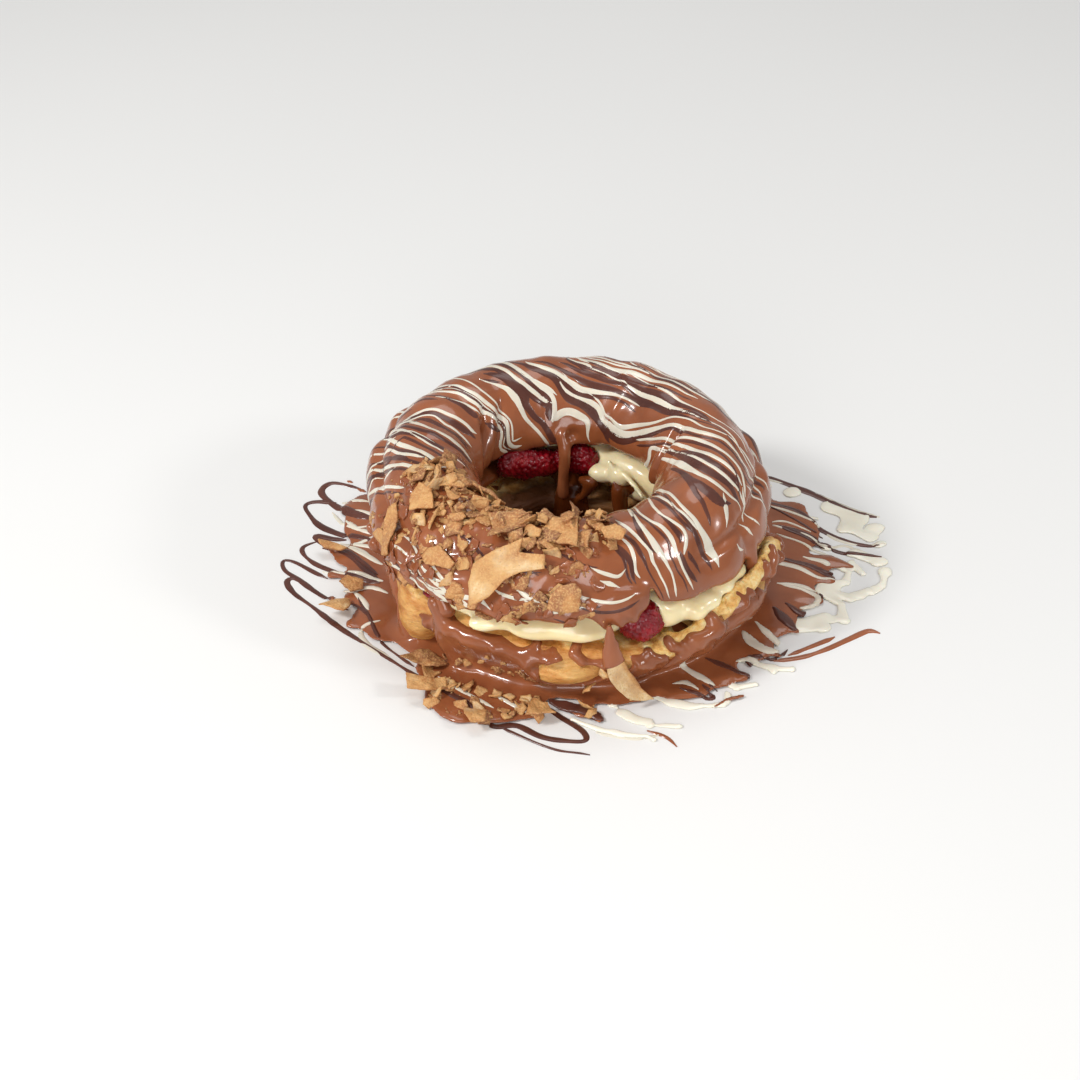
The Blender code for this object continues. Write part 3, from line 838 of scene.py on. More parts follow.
# ================================================================ sauce
COAT_TOP = (                          # direction and how high the sauce climbs the lower half, in mm
    (0, 15), (12, 20), (24, 17), (36, 21), (50, 16), (64, 20), (78, 21), (90, 15), (104, 19), (118, 14),
    (132, 20), (146, 17), (160, 21), (172, 15), (184, 18), (192, 20), (197, 21), (202, 17), (214, 15),
    (219, 17), (224, 22), (229, 19), (236, 20), (242, 18.5), (248, 20), (253, 18), (258, 17.5), (262, 19.5),
    (266, 16.5), (271, 16), (277, 17), (284, 18), (289, 14), (294, 10), (299, 14), (303, 18), (307, 16),
    (311, 22), (316, 19), (320, 25), (325, 27), (329, 22), (334, 23), (339, 28.5), (343, 24), (347, 25),
    (352, 17),
)
# Bare patches as direction, height, half extents in degrees and mm, and slant in degrees for each mm
BARE_SKIN = (
    (209.5, 13.0, 8.0, 13.5, 0.85),
    (265.5, 11.5, 9.5, 4.8, 0.0),
    (280.0, 14.0, 4.0, 3.0, 0.0),
    (343.0, 17.0, 4.0, 3.5, 0.0),
    (24.0, 12.0, 9.0, 4.5, 0.6),
    (58.0, 11.0, 8.0, 5.5, -0.5),
    (101.0, 11.0, 9.0, 4.5, 0.4),
    (138.0, 11.0, 8.0, 5.5, 0.7),
    (178.0, 10.0, 6.0, 5.5, 0.3),
)
COAT_THICKNESS = 1.15 * MM
SKIRT = 3.4 * MM                      # how wide the coat spreads into the pool
SAUCE_ADAPT = 0.08
# Runs of sauce that cling to the outside: direction and height of the start and of the end, and the
# radius there and there, in degrees and mm
OUTER_RUNS = (
    (226.5, 26.0, 232.0, 2.0, 2.6, 6.5),
    (197.0, 31.0, 200.0, 2.0, 2.6, 4.4),
    (189.0, 31.0, 191.0, 2.0, 2.0, 4.0),
    (271.5, 20.5, 272.5, 16.0, 1.7, 2.0),
    (259.0, 20.0, 259.0, 16.5, 1.6, 2.0),
    (232.0, 18.5, 262.5, 16.6, 2.3, 1.5),
    (292.0, 17.5, 297.0, 12.5, 1.7, 2.1),
    (306.0, 18.5, 318.5, 18.5, 2.4, 2.0),
    (324.5, 21.0, 334.0, 23.0, 2.2, 2.2),
    (299.5, 19.5, 303.0, 10.0, 1.8, 2.3),
    (313.0, 23.0, 311.0, 13.0, 2.2, 2.6),
    (335.5, 28.0, 338.5, 17.0, 1.9, 2.4),
    (342.5, 30.0, 343.0, 20.0, 1.6, 1.5),
    (352.0, 29.0, 352.5, 17.0, 1.6, 1.4),
    (3.0, 27.0, 8.0, 4.0, 1.8, 3.0),
    (44.0, 26.0, 47.0, 3.0, 1.9, 3.4),
    (68.0, 22.0, 66.0, 12.0, 1.6, 2.0),
    (88.0, 25.0, 92.0, 3.0, 1.9, 3.0),
    (112.0, 23.0, 110.0, 12.0, 1.5, 1.9),
    (124.0, 26.0, 127.0, 3.0, 2.0, 3.2),
    (164.0, 27.0, 161.0, 3.0, 2.0, 3.4),
)
RUN_STEPS = 7
# Streams in the hole, as x, y, z and radius in mm
STREAMS = (
    ((-2.0, 28.0, 20.0, 2.3), (-2.5, 28.0, 12.0, 2.6), (-3.0, 25.0, 3.0, 4.0)),
    ((4.6, 27.0, 25.0, 1.6), (8.0, 25.6, 24.6, 2.8), (6.6, 25.8, 21.5, 2.0), (4.4, 26.6, 17.5, 1.2)),
    ((15.6, 21.6, 28.0, 1.0), (17.0, 20.8, 24.4, 2.7), (17.6, 20.6, 19.0, 2.9), (18.6, 20.0, 13.0, 2.2)),
    ((-24.0, 17.0, 20.0, 1.8), (-23.0, 16.4, 10.0, 2.0), (-20.0, 14.0, 2.0, 3.0)),
)
# Tongues of sauce that lie on the surface, as x, y and half width in mm; all are SAUCE_LENS deep
TONGUES = (
    ((-60, 30, 7), (-72, 41, 3.5), (-77, 45, 2.0)),
    ((-60, 22, 6), (-70, 30, 3.0)),
    ((-60, 12, 7), (-73, 17, 5.0), (-80, 21, 2.5)),
    ((-60, 2, 7), (-72, 4, 4.5), (-80, 5, 2.5)),
    ((-58, -8, 8), (-70, -7, 5.0), (-79, -8, 3.0)),
    ((-56, -20, 8), (-66, -20, 6.0), (-72, -23, 3.0)),
    ((60, 34, 8), (72, 30, 5.0), (82, 25, 3.0)),
    ((64, 24, 8), (76, 20, 6.0), (89, 14, 3.0), (97, 10, 1.4)),
    ((64, 44, 6), (74, 42, 3.0), (84, 36, 1.6)),
    ((66, 8, 8), (78, 6, 5.0), (88, 2, 2.5)),
    ((66, -4, 8), (77, -6, 4.0), (84, -10, 2.0)),
    ((62, -18, 8), (70, -24, 5.0), (75, -27, 2.5)),
    ((54, -30, 8), (62, -38, 5.0), (68, -40, 2.4)),
    ((40, -44, 8), (50, -51, 4.0), (56, -52, 2.0)),
    ((24, -58, 6), (33, -60, 3.0), (42, -60, 1.6)),
    ((-2, -62, 7), (4, -70, 4.0), (9, -74, 2.4)),
    ((-20, -60, 8), (-22, -68, 6.0)),
    ((-36, -54, 7), (-40, -58, 4.0)),
    ((44, -68, 0.8), (50, -63, 2.4), (55, -61, 2.0)),
)
SAUCE_LENS = 1.3 * MM


def reach_round(node, highest):
    """Outer radius of a CAD node below a height, as a function of direction."""
    co = points_of(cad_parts[node].data)
    co = co[co[:, 2] < highest]
    angle = np.degrees(np.arctan2(co[:, 1], co[:, 0])) % 360.0
    radius = np.hypot(co[:, 0], co[:, 1])
    bins = np.arange(0.0, 360.0, 4.0)
    found = np.array([radius[np.abs(away(angle, start)) < 3.5].max() for start in bins])
    for _ in range(3):
        found = 0.25 * np.roll(found, 1) + 0.5 * found + 0.25 * np.roll(found, -1)
    return lambda direction: np.interp(direction, bins, found, period=360.0)


def pool_field(block):
    """The pool that lies round the foot and in the hole, thin at its wavy outline."""
    angle, radius = block.polar((0.0, 0.0))
    flat = np.stack([np.broadcast_to(block.x, angle.shape).ravel(),
                     np.broadcast_to(block.y, angle.shape).ravel(),
                     np.zeros(angle.size)], 1)
    ripple = rough(flat, 18 * MM, 80, 2).reshape(angle.shape)
    fine = noise(flat, 6 * MM, 84).reshape(angle.shape)
    reach = reach_round("sauce_pool", 3 * MM)(angle)
    reach = reach - 0.5 * MM + 2.6 * MM * ripple + 0.5 * MM * fine
    edge = radius - reach
    deep = 0.9 * MM + 1.0 * MM * step_up(-edge, 0.0, 14 * MM) + 0.35 * MM * ripple + 0.12 * MM * fine
    return smooth_max(0.8 * edge, block.z - deep, 1.8 * MM)


def add_tongue(block, field, rows, lens, blend):
    """Joins a flat run of sauce, lens deep; it is the top of a buried round run."""
    path = []
    for x, y, half in rows:
        half = half * MM
        radius = (half * half + lens * lens) / (2 * lens)
        path.append((x * MM, y * MM, lens - radius, radius))
    return add_drip(block, field, path, blend)


HOLE_COAT_TOP = (                     # the same on the wall of the hole, which is bare but for the streams
    (0, 4), (40, 3), (70, 4), (80, 9), (86, 20), (92, 27), (99, 27), (104, 16), (112, 6), (150, 3), (200, 4),
    (230, 9), (262, 4), (300, 6), (335, 9),
)


def heights_from(rows, angle):
    rows = np.array(rows, float)
    return np.interp(angle, rows[:, 0], rows[:, 1] * MM, period=360.0)


def coat_field(block, dough, filling):
    """Sauce on the sides of the lower half and, in the hole, on the custard too."""
    angle, radius = block.polar(BASE_CENTRE)
    outside = radius > 46 * MM
    scallops = 0.8 * MM * np.sin(np.radians(angle * 24.0))
    top = np.where(outside, heights_from(COAT_TOP, angle) + scallops, heights_from(HOLE_COAT_TOP, angle))
    cover = step_up(top - block.z, -1.0 * MM, 1.0 * MM)
    wobble = 1.0 + 0.22 * np.sin(np.radians(31 * angle) + block.z / (2.6 * MM))
    wobble = wobble + 0.16 * np.sin(np.radians(57 * angle) - block.z / (1.7 * MM))
    for direction, height, half_angle, half_height, slant in BARE_SKIN:
        across = away(angle + slant * (block.z / MM - height), direction) / (half_angle * wobble)
        upward = (block.z - height * MM) / (half_height * MM)
        window = 1.0 - step_up(np.sqrt(across**2 + upward**2), 0.80, 1.10)
        cover = cover * (1.0 - window * outside)
    ribs = 0.45 * MM * np.sin(np.radians(19 * angle) + block.z / (7 * MM)) * ~outside
    lip = hump((top - block.z - 2.4 * MM) / MM, 2.6) * outside
    frill = 0.9 + 0.8 * np.sin(np.radians(43 * angle)) + 0.5 * np.sin(np.radians(71 * angle))
    ribs = ribs + lip * MM * frill
    under = np.where(outside, dough, smooth_min(dough, filling, 7.0 * MM))
    return under - (COAT_THICKNESS + ribs + 1.6 * MM) * cover + 1.6 * MM


def outer_run(tree, row):
    """Points and radii of a run of sauce that clings to what is baked and filled."""
    start, top, end, bottom, thick, foot = row
    found = []
    for share in np.linspace(0.0, 1.0, RUN_STEPS):
        turn = math.radians(start + (end - start) * share + 1.1 * math.sin(7.0 * share + start))
        outward = Vector((math.cos(turn), math.sin(turn), 0.0))
        level = Vector((0.0, 0.0, (top + (bottom - top) * share) * MM))
        place, _, _, _ = tree.ray_cast(outward * 0.1 + level, -outward, 0.06)
        if place:
            found.append((*place, (thick + (foot - thick) * share**3) * MM))
    return found


PATCH_DEPTH = 0.30 * MM
PATCHES_TO = 5 * MM                   # patches lie on the sauce below this height


def plan_distance(block, rows):
    """Distance of each column of voxels from a run of discs seen from above, negative inside it."""
    found = np.full((block.shape[0], block.shape[1], 1), 1.0)
    for (ax, ay, ar), (bx, by, br) in zip(rows, rows[1:]):
        px, py, run = block.x - ax, block.y - ay, (bx - ax, by - ay)
        along = np.clip((px * run[0] + py * run[1]) / (run[0] ** 2 + run[1] ** 2), 0.0, 1.0)
        gap = np.hypot(px - along * run[0], py - along * run[1]) - (ar + along * (br - ar))
        found = np.minimum(found, gap)
    return found


def make_patches(name, look, slot, block, sauce, lines):
    """The areas of one chocolate that lie on the sauce and on the floor beside it."""
    plan = np.full((block.shape[0], block.shape[1], 1), 1.0)
    for half, points in lines:
        course = smooth_line(np.array(points, float) * MM, 2 * MM)
        taper = np.minimum(np.arange(len(course)), np.arange(len(course))[::-1])
        uneven = 1.0 + 0.25 * noise(np.column_stack((course, 0.0 * taper)), 6 * MM, 77)
        wide = half * MM * np.clip(0.45 + 0.28 * taper, 0.0, 1.0) * uneven
        plan = smooth_min(plan, plan_distance(block, np.column_stack((course, wide))), 0.8 * MM)
    top = np.minimum(sauce, block.z) - PATCH_DEPTH
    field = np.maximum(smooth_max(top, np.broadcast_to(plan, top.shape), 0.5 * MM), -block.z)
    return finish(block.surface(name, field, SAUCE_ADAPT), look, slot)


def make_sauce(looks, *inside):
    """The pool, the coat on the lower half and the streams between them, as one skin of sauce."""
    low = Vector((CAD_BOX[0][0] - 2 * MM, CAD_BOX[0][1] - 2 * MM, -2 * MM))
    high = Vector((CAD_BOX[1][0] + 4 * MM, CAD_BOX[1][1] + 2 * MM, 34 * MM))
    block = Block(low, high, SAUCE_VOXEL)
    filling = blurred(block.distance_to(*cad_surface("custard", 1)), 3)
    coat = coat_field(block, base_shape(block), filling)
    angle, _ = block.polar(BASE_CENTRE)
    skirt = SKIRT - 2.4 * MM * undercut_share(angle) + 3.5 * MM * hump(away(angle, 248.0), 26.0)
    sauce = smooth_min(pool_field(block), coat, skirt)
    for rows in TONGUES:
        sauce = add_tongue(block, sauce, rows, SAUCE_LENS, 2.4 * MM)
    for rows in STREAMS:
        sauce = add_drip(block, sauce, in_metres(rows), 2.0 * MM)
    clung_to = tree_of(*inside)
    for row in OUTER_RUNS:
        sauce = add_drip(block, sauce, outer_run(clung_to, row), 2.0 * MM)
    sauce = blurred(smooth_max(sauce, -block.z, 0.3 * MM))
    shallow = np.where(block.z < PATCHES_TO, sauce, 1.0)
    for colour, lines in (("white", WHITE_LINES), ("dark", DARK_LINES)):
        wide = [row for row in lines if row[0] >= WIDE]
        make_patches(f"{colour}_patches", looks[colour], f"{colour}_chocolate", block, shallow, wide)
    sauce = block.surface("sauce", sauce, SAUCE_ADAPT)
    co = points_of(sauce.data)
    swell = 0.18 * MM * rough(co, 9 * MM, 90, 2) * step_up(co[:, 2], 4.0 * MM, 6.0 * MM)
    move_points(sauce.data, co + normals_of(sauce.data) * swell[:, None])
    # Painted shade: the depth mark is 1 on the sauce in the hole and fades to 0 by 42 mm from the middle.
    mark(sauce, "depth", 1.0 - step_up(np.hypot(co[:, 0], co[:, 1]), 30 * MM, 42 * MM))
    finish(sauce, looks["milk"], "milk_chocolate", "sauce_pool", "sauce_in_hole")
    return sauce


# ================================================================ strawberries
SEED_SPACING = 1.3 * MM
SQUEEZED = 1.2 * MM                   # some berries are squeezed out between the halves by this much


def berry_sites(points):
    """Well-spread points of a surface, taken in a fixed order, that stand for the berry's cells."""
    chosen = []
    for i in range(0, len(points), 7):
        p = points[i]
        if all(((p - q) ** 2).sum() > SEED_SPACING**2 for q in chosen):
            chosen.append(p)
    return np.array(chosen)


# More of the berries in the hole, as direction, radius and height,
# and half extents outward, sideways and up, in mm
BERRY_LUMPS = {
    "strawberry_hole_left": (
        (126, 32.4, 31.6, 3.6, 6.0, 4.6),
        (116, 32.6, 29.8, 4.4, 6.6, 5.4),
        (104, 32.8, 28.6, 4.2, 5.4, 4.8),
    ),
    "strawberry_hole_right": (
        (92, 33.0, 29.2, 3.8, 5.0, 4.6),
        (82, 32.6, 30.0, 4.2, 5.0, 5.4),
    ),
}


def make_berries(looks):
    """Cut strawberries with the little swellings of their flesh."""
    for node in sorted(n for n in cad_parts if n.startswith("strawberry_")):
        low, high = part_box(node)
        lumps = BERRY_LUMPS.get(node, ())
        margin = Vector((1, 1, 1)) * (7 if lumps else 3) * MM
        block = Block(low - margin, high + margin, 0.42 * MM)
        flesh = blurred(block.distance_to(*cad_surface(node, 2)), 2) - (SQUEEZED if "front" in node else 0.0)
        for direction, radius, height, *radii in lumps:
            turn = math.radians(direction)
            centre = (radius * MM * math.cos(turn), radius * MM * math.sin(turn), height * MM)
            flesh = add_lump(block, flesh, centre, [r * MM for r in radii], turn, 1.2 * MM)
        berry = block.surface("cut_" + node, flesh)
        co = points_of(berry.data)
        sites = berry_sites(co)
        nearest = np.sqrt(((co[:, None, :] - sites[None, :, :]) ** 2).sum(2).min(1))
        cells = 0.32 * MM * (1.0 - (nearest / (0.62 * SEED_SPACING)) ** 2)
        swell = cells + 0.5 * MM * noise(co, 4 * MM, 70)
        move_points(berry.data, co + normals_of(berry.data) * swell[:, None])
        finish(berry, looks["berry"], "strawberry", node)


# ================================================================ drizzle
DRIZZLE_STEP = 0.7 * MM
LONGEST_STEP = 2.6 * MM
EDGE_MARGIN = 1.2 * MM
AROUND, UPWARD = 0.80, 0.29           # mm for one degree round the ring and for one degree up its section
# Lines over the ring from the spoon, as direction, section angle and half width in mm
WHITE_ON_RING = (
    ((139, 56, .7), (136, 97, .75), (130, 131, .75), (127, 150, .75), (129, 172, .7), (126, 181, .7),
     (120, 181, .5)),
    ((143, 56, .6), (140, 92, .7), (136, 124, .7), (131, 150, .7), (135, 174, .7), (128, 190, .6)),
    ((148, 74, .5), (143, 100, .6), (140, 121, .5)),
    ((160, 58, .7), (155, 79, .8), (154, 102, .8), (151, 138, .7)),
    ((162, 64, .5), (158, 80, .55), (160, 104, .55), (160, 142, .5)),
    ((163, 48, .8), (162, 58, .95), (167, 86, .95), (171, 115, .9), (172, 150, .8)),
    ((166, 40, .3), (170, 70, .35), (178, 100, .3)),
    ((166, 36, .7), (174, 58, .8), (187, 90, .8), (203, 110, .8)),
    ((172, 24, .6), (173, 44, .75), (182, 67, .75), (189, 88, .7)),
    ((173, 4, .7), (178, 30, .8), (188, 66, .8), (199, 84, .8)),
    ((179, 2, .4), (178, 12, .4), (180, 22, .4)),
    ((128, 50, .8), (120, 58, 1.0), (117, 80, 1.0), (113, 105, 1.0), (107, 122, 1.0), (98, 139, .9)),
    ((114, 64, .8), (109, 96, .9), (104, 116, 1.0), (98, 129, 1.1), (98, 144, 1.3), (99, 160, 1.4)),
    ((100, 158, 1.4), (92, 150, 1.2), (82, 153, 1.3), (77, 160, 1.1), (77, 175, .5), (75, 185, .4)),
    ((106, 76, .6), (102, 91, .8), (91, 109, 1.1), (82, 123, 1.2), (65, 122, .6), (54, 125, .5),
     (49, 127, .4)),
    ((95, 108, .5), (89, 126, .8), (74, 141, 1.2), (68, 156, 1.1), (55, 167, 2.2), (41, 155, 1.6),
     (30, 137, 1.1), (18, 117, .9), (5, 99, .8), (0, 73, .7), (353, 50, .6), (351, 40, .5)),
    ((42, 163, .5), (26, 146, .5), (13, 129, .6), (0, 101, .75), (352, 73, .7), (347, 53, .6),
     (341, 36, .45)),
    ((16, 143, .4), (2, 121, .65), (352, 102, .8), (347, 78, .8), (344, 55, .6), (343, 47, .5)),
    ((29, 186, .8), (23, 172, 1.0), (26, 158, .9), (13, 146, .7), (357, 123, .7), (346, 100, .8),
     (341, 72, .8), (340, 46, .5), (338, 34, .5)),
    ((8, 152, .4), (353, 132, 1.0), (342, 112, 1.2), (336, 91, .9), (334, 62, .8), (336, 43, .5),
     (335, 33, .4)),
    ((331, 150, .4), (322, 118, .6), (315, 82, .7), (315, 57, 1.1), (316, 27, 1.6), (316, 5, .5)),
    ((318, 134, .4), (314, 106, .6), (312, 75, .6), (314, 50, .8)),
    ((314, 126, .3), (306, 94, .45), (307, 71, .6), (309, 51, .8), (306, 33, .7)),
    ((304, 124, .4), (300, 93, .5), (304, 56, .7), (304, 34, .5), (306, -3, .4)),
    ((300, 122, .5), (296, 94, .7), (296, 73, .7), (298, 50, 1.3), (300, 26, .5), (301, -3, .45)),
    ((289, 96, .4), (291, 79, .6), (295, 51, .8), (296, 30, .35), (299, -3, .3)),
    ((287, 72, .5), (290, 52, .7), (290, 33, .5), (291, 26, .8)),
    ((279, 30, .5), (282, 24, .9), (284, 20, .5)),
    ((1, 58, .5), (357, 33, .5), (355, 8, .4)),
    ((351, 52, .4), (350, 42, .5), (352, 25, .55), (350, 6, .4)),
    ((345, 42, .4), (347, 24, .55), (347, 4, .4)),
    ((343, 46, .5), (337, 29, .5), (334, 22, .4)),
    ((333, 62, .4), (329, 50, 1.2), (325, 34, .5)),
    ((325, 14, .5), (325, 8, .7), (327, 2, .6)),
    ((332, 24, .4), (333, 14, .7), (334, 6, .5)),
    ((337, 26, .5), (337, 18, .6), (338, 8, .4)),
    ((66, 104, .3), (54, 111, .9), (41, 112, 1.4), (29, 108, 1.0), (18, 95, .5), (6, 70, .4), (359, 56, .4)),
    ((90, 74, .5), (81, 94, .8), (72, 100, .5), (63, 107, .3)),
    ((88, 68, .5), (79, 88, 1.0), (64, 93, 1.2), (46, 90, .8), (30, 81, .3)),
    ((82, 64, .6), (71, 78, .6), (56, 83, .3)),
    ((66, 70, .4), (60, 80, .5), (42, 79, .6), (27, 66, .6), (17, 42, .8)),
    ((62, 62, .4), (47, 70, .5), (29, 58, .5), (17, 32, .4)),
    ((158, 22, .5), (164, 44, .6), (168, 60, .6), (176, 86, .5), (186, 112, .5), (190, 130, .4)),
    ((178, -10, .5), (183, 12, .7), (190, 36, .7), (199, 58, .5)),
    ((150, 14, .5), (148, 34, .7), (145, 52, .7), (143, 64, .5)),
    ((159, -8, .5), (157, 14, .8), (154, 34, .8), (152, 54, .6)),
    ((70, 44, .5), (50, 36, .8), (28, 30, .7), (8, 22, .5)),
    ((64, 18, .5), (44, 12, .7), (22, 10, .7), (6, 4, .5)),
    ((276, 44, .4), (280, 36, .7), (284, 30, .6), (287, 38, .4)),
    ((268, 22, .4), (275, 12, .6), (282, 8, .6), (288, 14, .4)),
)
DARK_ON_RING = (
    ((124, 76, .6), (118, 98, 1.2), (114, 120, 2.2), (113, 137, 1.3), (107, 157, 1.0), (97, 187, .9)),
    ((126, 84, .4), (124, 92, .8), (121, 98, .4)),
    ((139, 133, .6), (138, 141, .8), (132, 153, .7)),
    ((112, 66, .5), (105, 89, .9), (96, 111, .8), (90, 134, .9), (81, 140, .9), (73, 153, 1.0),
     (62, 182, .6)),
    ((103, 80, .5), (96, 92, .7), (80, 115, 1.0), (65, 118, .9), (43, 121, 1.2), (26, 106, .8), (12, 84, .5)),
    ((93, 84, .5), (81, 103, 1.0), (64, 108, .8), (43, 107, 1.2), (26, 98, .7), (15, 84, .5)),
    ((82, 84, .5), (74, 93, .6), (66, 97, .4)),
    ((77, 66, .4), (70, 70, .6), (64, 72, .5)),
    ((66, 78, .5), (50, 84, .6), (32, 79, .4)),
    ((167, 42, .7), (172, 74, .8), (183, 114, .75), (190, 138, .6)),
    ((172, 64, .4), (182, 92, .5), (197, 120, .4)),
    ((37, 74, .5), (22, 60, 1.0), (18, 44, .9)),
    ((8, 142, .4), (346, 109, 1.1), (339, 84, 1.3), (338, 59, 1.1), (336, 38, .5)),
    ((0, 128, .4), (346, 91, .9), (342, 50, .5)),
    ((347, 134, .4), (332, 98, .8), (328, 70, 1.7), (329, 56, 1.6), (332, 48, 1.0)),
    ((336, 114, .4), (325, 83, .8), (320, 46, .6)),
    ((297, 104, .4), (294, 66, .9), (297, 46, .4)),
    ((305, 84, .4), (307, 54, .8), (306, 46, .5)),
    ((308, 36, .5), (308, 28, .7), (310, 8, .4)),
    ((305, 38, .6), (306, 15, .7), (308, 2, .7)),
    ((285, 66, .5), (288, 49, .9), (289, 20, .3)),
    ((352, 36, .4), (354, 26, .7), (353, 14, .6)),
    ((349, 36, .4), (349, 27, .6), (350, 15, .5)),
    ((338, 18, .5), (339, 13, .5), (340, 8, .4)),
    ((138, 72, .4), (138, 96, .8), (136, 117, .5)),
    ((147, 62, .4), (145, 95, 1.0), (143, 127, .8)),
    ((157, 74, .4), (157, 106, .8), (156, 132, .6)),
    ((161, 68, .5), (163, 101, 1.0), (165, 140, .7)),
    ((176, 34, .5), (180, 56, .8), (188, 74, .4)),
    ((172, 12, .4), (175, 36, .6), (184, 64, .6), (194, 86, .4)),
    ((155, 20, .5), (153, 40, .8), (150, 60, .8), (149, 78, .4)),
    ((66, 34, .5), (46, 26, .8), (24, 22, .7), (6, 14, .5)),
    ((70, 2, .5), (52, -6, .7), (36, -8, .5)),
)
BACK_RUNS = (64.0, 188.0, 6.0)        # first and last direction and spacing of the lines down the back


def coat_edge(place):
    """Height that drizzle keeps above, so that it ends just over the coat's lower edge."""
    radius = math.hypot(place.x, place.y)
    direction = math.degrees(math.atan2(place.y, place.x)) % 360.0
    share = min(max((radius - 30 * MM) / (32 * MM), 0.0), 1.0)
    outer, inner = OUTER_RIM(direction), INNER_RIM(direction)
    return inner + (outer - inner) * share + EDGE_MARGIN


def flow_tail(place, tree, length):
    """Points down the steepest way from a point, along the surface."""
    found = []
    while length > 0:
        near, normal, _, _ = tree.find_nearest(place)
        if near is None:
            break
        down = Vector((0, 0, -1)) - normal * (-normal.z)
        if down.length < 0.25 or near.z < coat_edge(near):
            break
        found.append(tuple(near))
        place = near + down.normalized() * DRIZZLE_STEP
        length -= DRIZZLE_STEP
    return found[1:]


def unbroken(line):
    """The stretches of a line between the places where it jumps to another surface."""
    jumps = np.linalg.norm(np.diff(line[:, :3], axis=0), axis=1) > LONGEST_STEP
    return [part for part in np.split(line, np.flatnonzero(jumps) + 1) if len(part) > 5]


def eased(line, passes):
    """A line with its kinks taken out; the ends stay."""
    for _ in range(passes):
        line = np.concatenate((line[:1], 0.25 * line[:-2] + 0.5 * line[1:-1] + 0.25 * line[2:], line[-1:]))
    return line


RIBBON_SECTION = ((-1.0, -0.06), (-0.85, 0.05), (-0.45, 0.12), (0.0, 0.14), (0.45, 0.12), (0.85, 0.05),
                  (1.0, -0.06))


def ribbon(line, widths, tree, proud):
    """A low rounded band along a line on a surface; widths are half widths, and it is closed all round."""
    line = eased(line, 3)
    ahead = np.gradient(line, axis=0)
    ahead /= np.maximum(np.linalg.norm(ahead, axis=1), 1e-9)[:, None]
    rows = []
    for place, along, half in zip(line, ahead, widths):
        near, normal, _, _ = tree.find_nearest(Vector(place))
        side = normal.cross(Vector(along)).normalized()
        ring = []
        for across, up in RIBBON_SECTION:
            foot, facing, _, _ = tree.find_nearest(near + side * (across * half))
            lift = up * MM * proud
            ring.append(tuple(foot + facing * lift))
        ring.append(tuple(near - normal * (0.45 * MM)))
        rows.append(ring)
    rows = np.array(rows)
    rows[:, :, 2] = np.maximum(rows[:, :, 2], 0.0)
    return rows


def tube_faces(rings, sides, first):
    """Triangles of a closed tube of rings, with its two ends shut."""
    i = np.arange(rings - 1)[:, None] * sides
    j = np.arange(sides)[None, :]
    k = (j + 1) % sides
    a, b, c, d = i + j, i + k, i + sides + k, i + sides + j
    walls = np.concatenate((np.stack((a, d, c), -1).reshape(-1, 3), np.stack((a, c, b), -1).reshape(-1, 3)))
    fan = np.arange(1, sides - 1)
    start = np.stack((np.zeros_like(fan), fan, fan + 1), -1)
    end = (rings - 1) * sides + np.stack((np.zeros_like(fan), fan + 1, fan), -1)
    return np.concatenate((walls, start, end)) + first


def width_along(line, base, seed, uneven):
    """Half width at each point of a line: uneven, and thin at the two ends."""
    count = len(line)
    swell = 1.0 + uneven * (noise(line, 11 * MM, seed) + 0.4 * noise(line, 4 * MM, seed + 1))
    ends = np.minimum(np.arange(count), np.arange(count)[::-1]) * DRIZZLE_STEP
    return base * np.clip(swell, 0.45, 2.0) * np.clip(0.20 + ends / (2.5 * MM), 0.0, 1.0)


class Ribbons:
    """Bands of one sauce that become one piece."""

    def __init__(self, name):
        self.name = name
        self.points = []
        self.faces = []
        self.count = 0

    def add(self, line, widths, tree, proud=1.0):
        if len(line) < 4:
            return
        rows = ribbon(line, widths, tree, proud)
        rings, sides = rows.shape[:2]
        self.points.append(rows.reshape(-1, 3))
        self.faces.append(tube_faces(rings, sides, self.count))
        self.count += rings * sides

    def made(self):
        obj = mesh_from(self.name, np.concatenate(self.points), np.concatenate(self.faces))
        obj.data.set_sharp_from_angle(angle=1.2)
        return obj


def pour(ribbons, tree, rows, seed, tail=0.0, aside=0.0, thin=1.0):
    """A line over the ring given by direction, section angle and half width; tail is how far it runs on
    down from its start, and aside moves it to its right, in mm."""
    rows = np.array(rows, float) * (1.0, 1.0, thin)
    rows[:, 0] = np.unwrap(rows[:, 0], period=360.0)
    scale = np.array((AROUND, UPWARD, 1.0))
    course = smooth_line(rows * scale, DRIZZLE_STEP / MM)
    ahead = np.gradient(course[:, :2], axis=0)
    ahead /= np.maximum(np.linalg.norm(ahead, axis=1), 1e-9)[:, None]
    shift = aside * (1.0 + 0.35 * noise(course * 0.03 + seed, 0.5, seed + 5))
    course[:, 0] += shift * ahead[:, 1]
    course[:, 1] -= shift * ahead[:, 0]
    course = course / scale
    wander = noise(course * 0.05 + seed, 0.5, seed)
    line = []
    for (direction, section, half), stray in zip(course, wander):
        place, _ = lid_point(tree, direction + 0.5 * stray, section + 1.2 * stray)
        if place and place.z > coat_edge(place):
            line.append((*place, half * MM))
    if tail and line:
        run = flow_tail(Vector(line[0][:3]), tree, tail)
        line = [(*place, line[0][3] * 0.8) for place in run[::-1]] + line
    if len(line) > 5:
        for part in unbroken(np.array(line)):
            ribbons.add(part[:, :3], width_along(part[:, :3], part[:, 3], seed, 0.25), tree, RING_PROUD)


def starts_at_back(rows):
    """Whether a line over the ring starts at the top of the back."""
    direction, section = rows[0][:2]
    return 20 < direction < 186 and section < 90


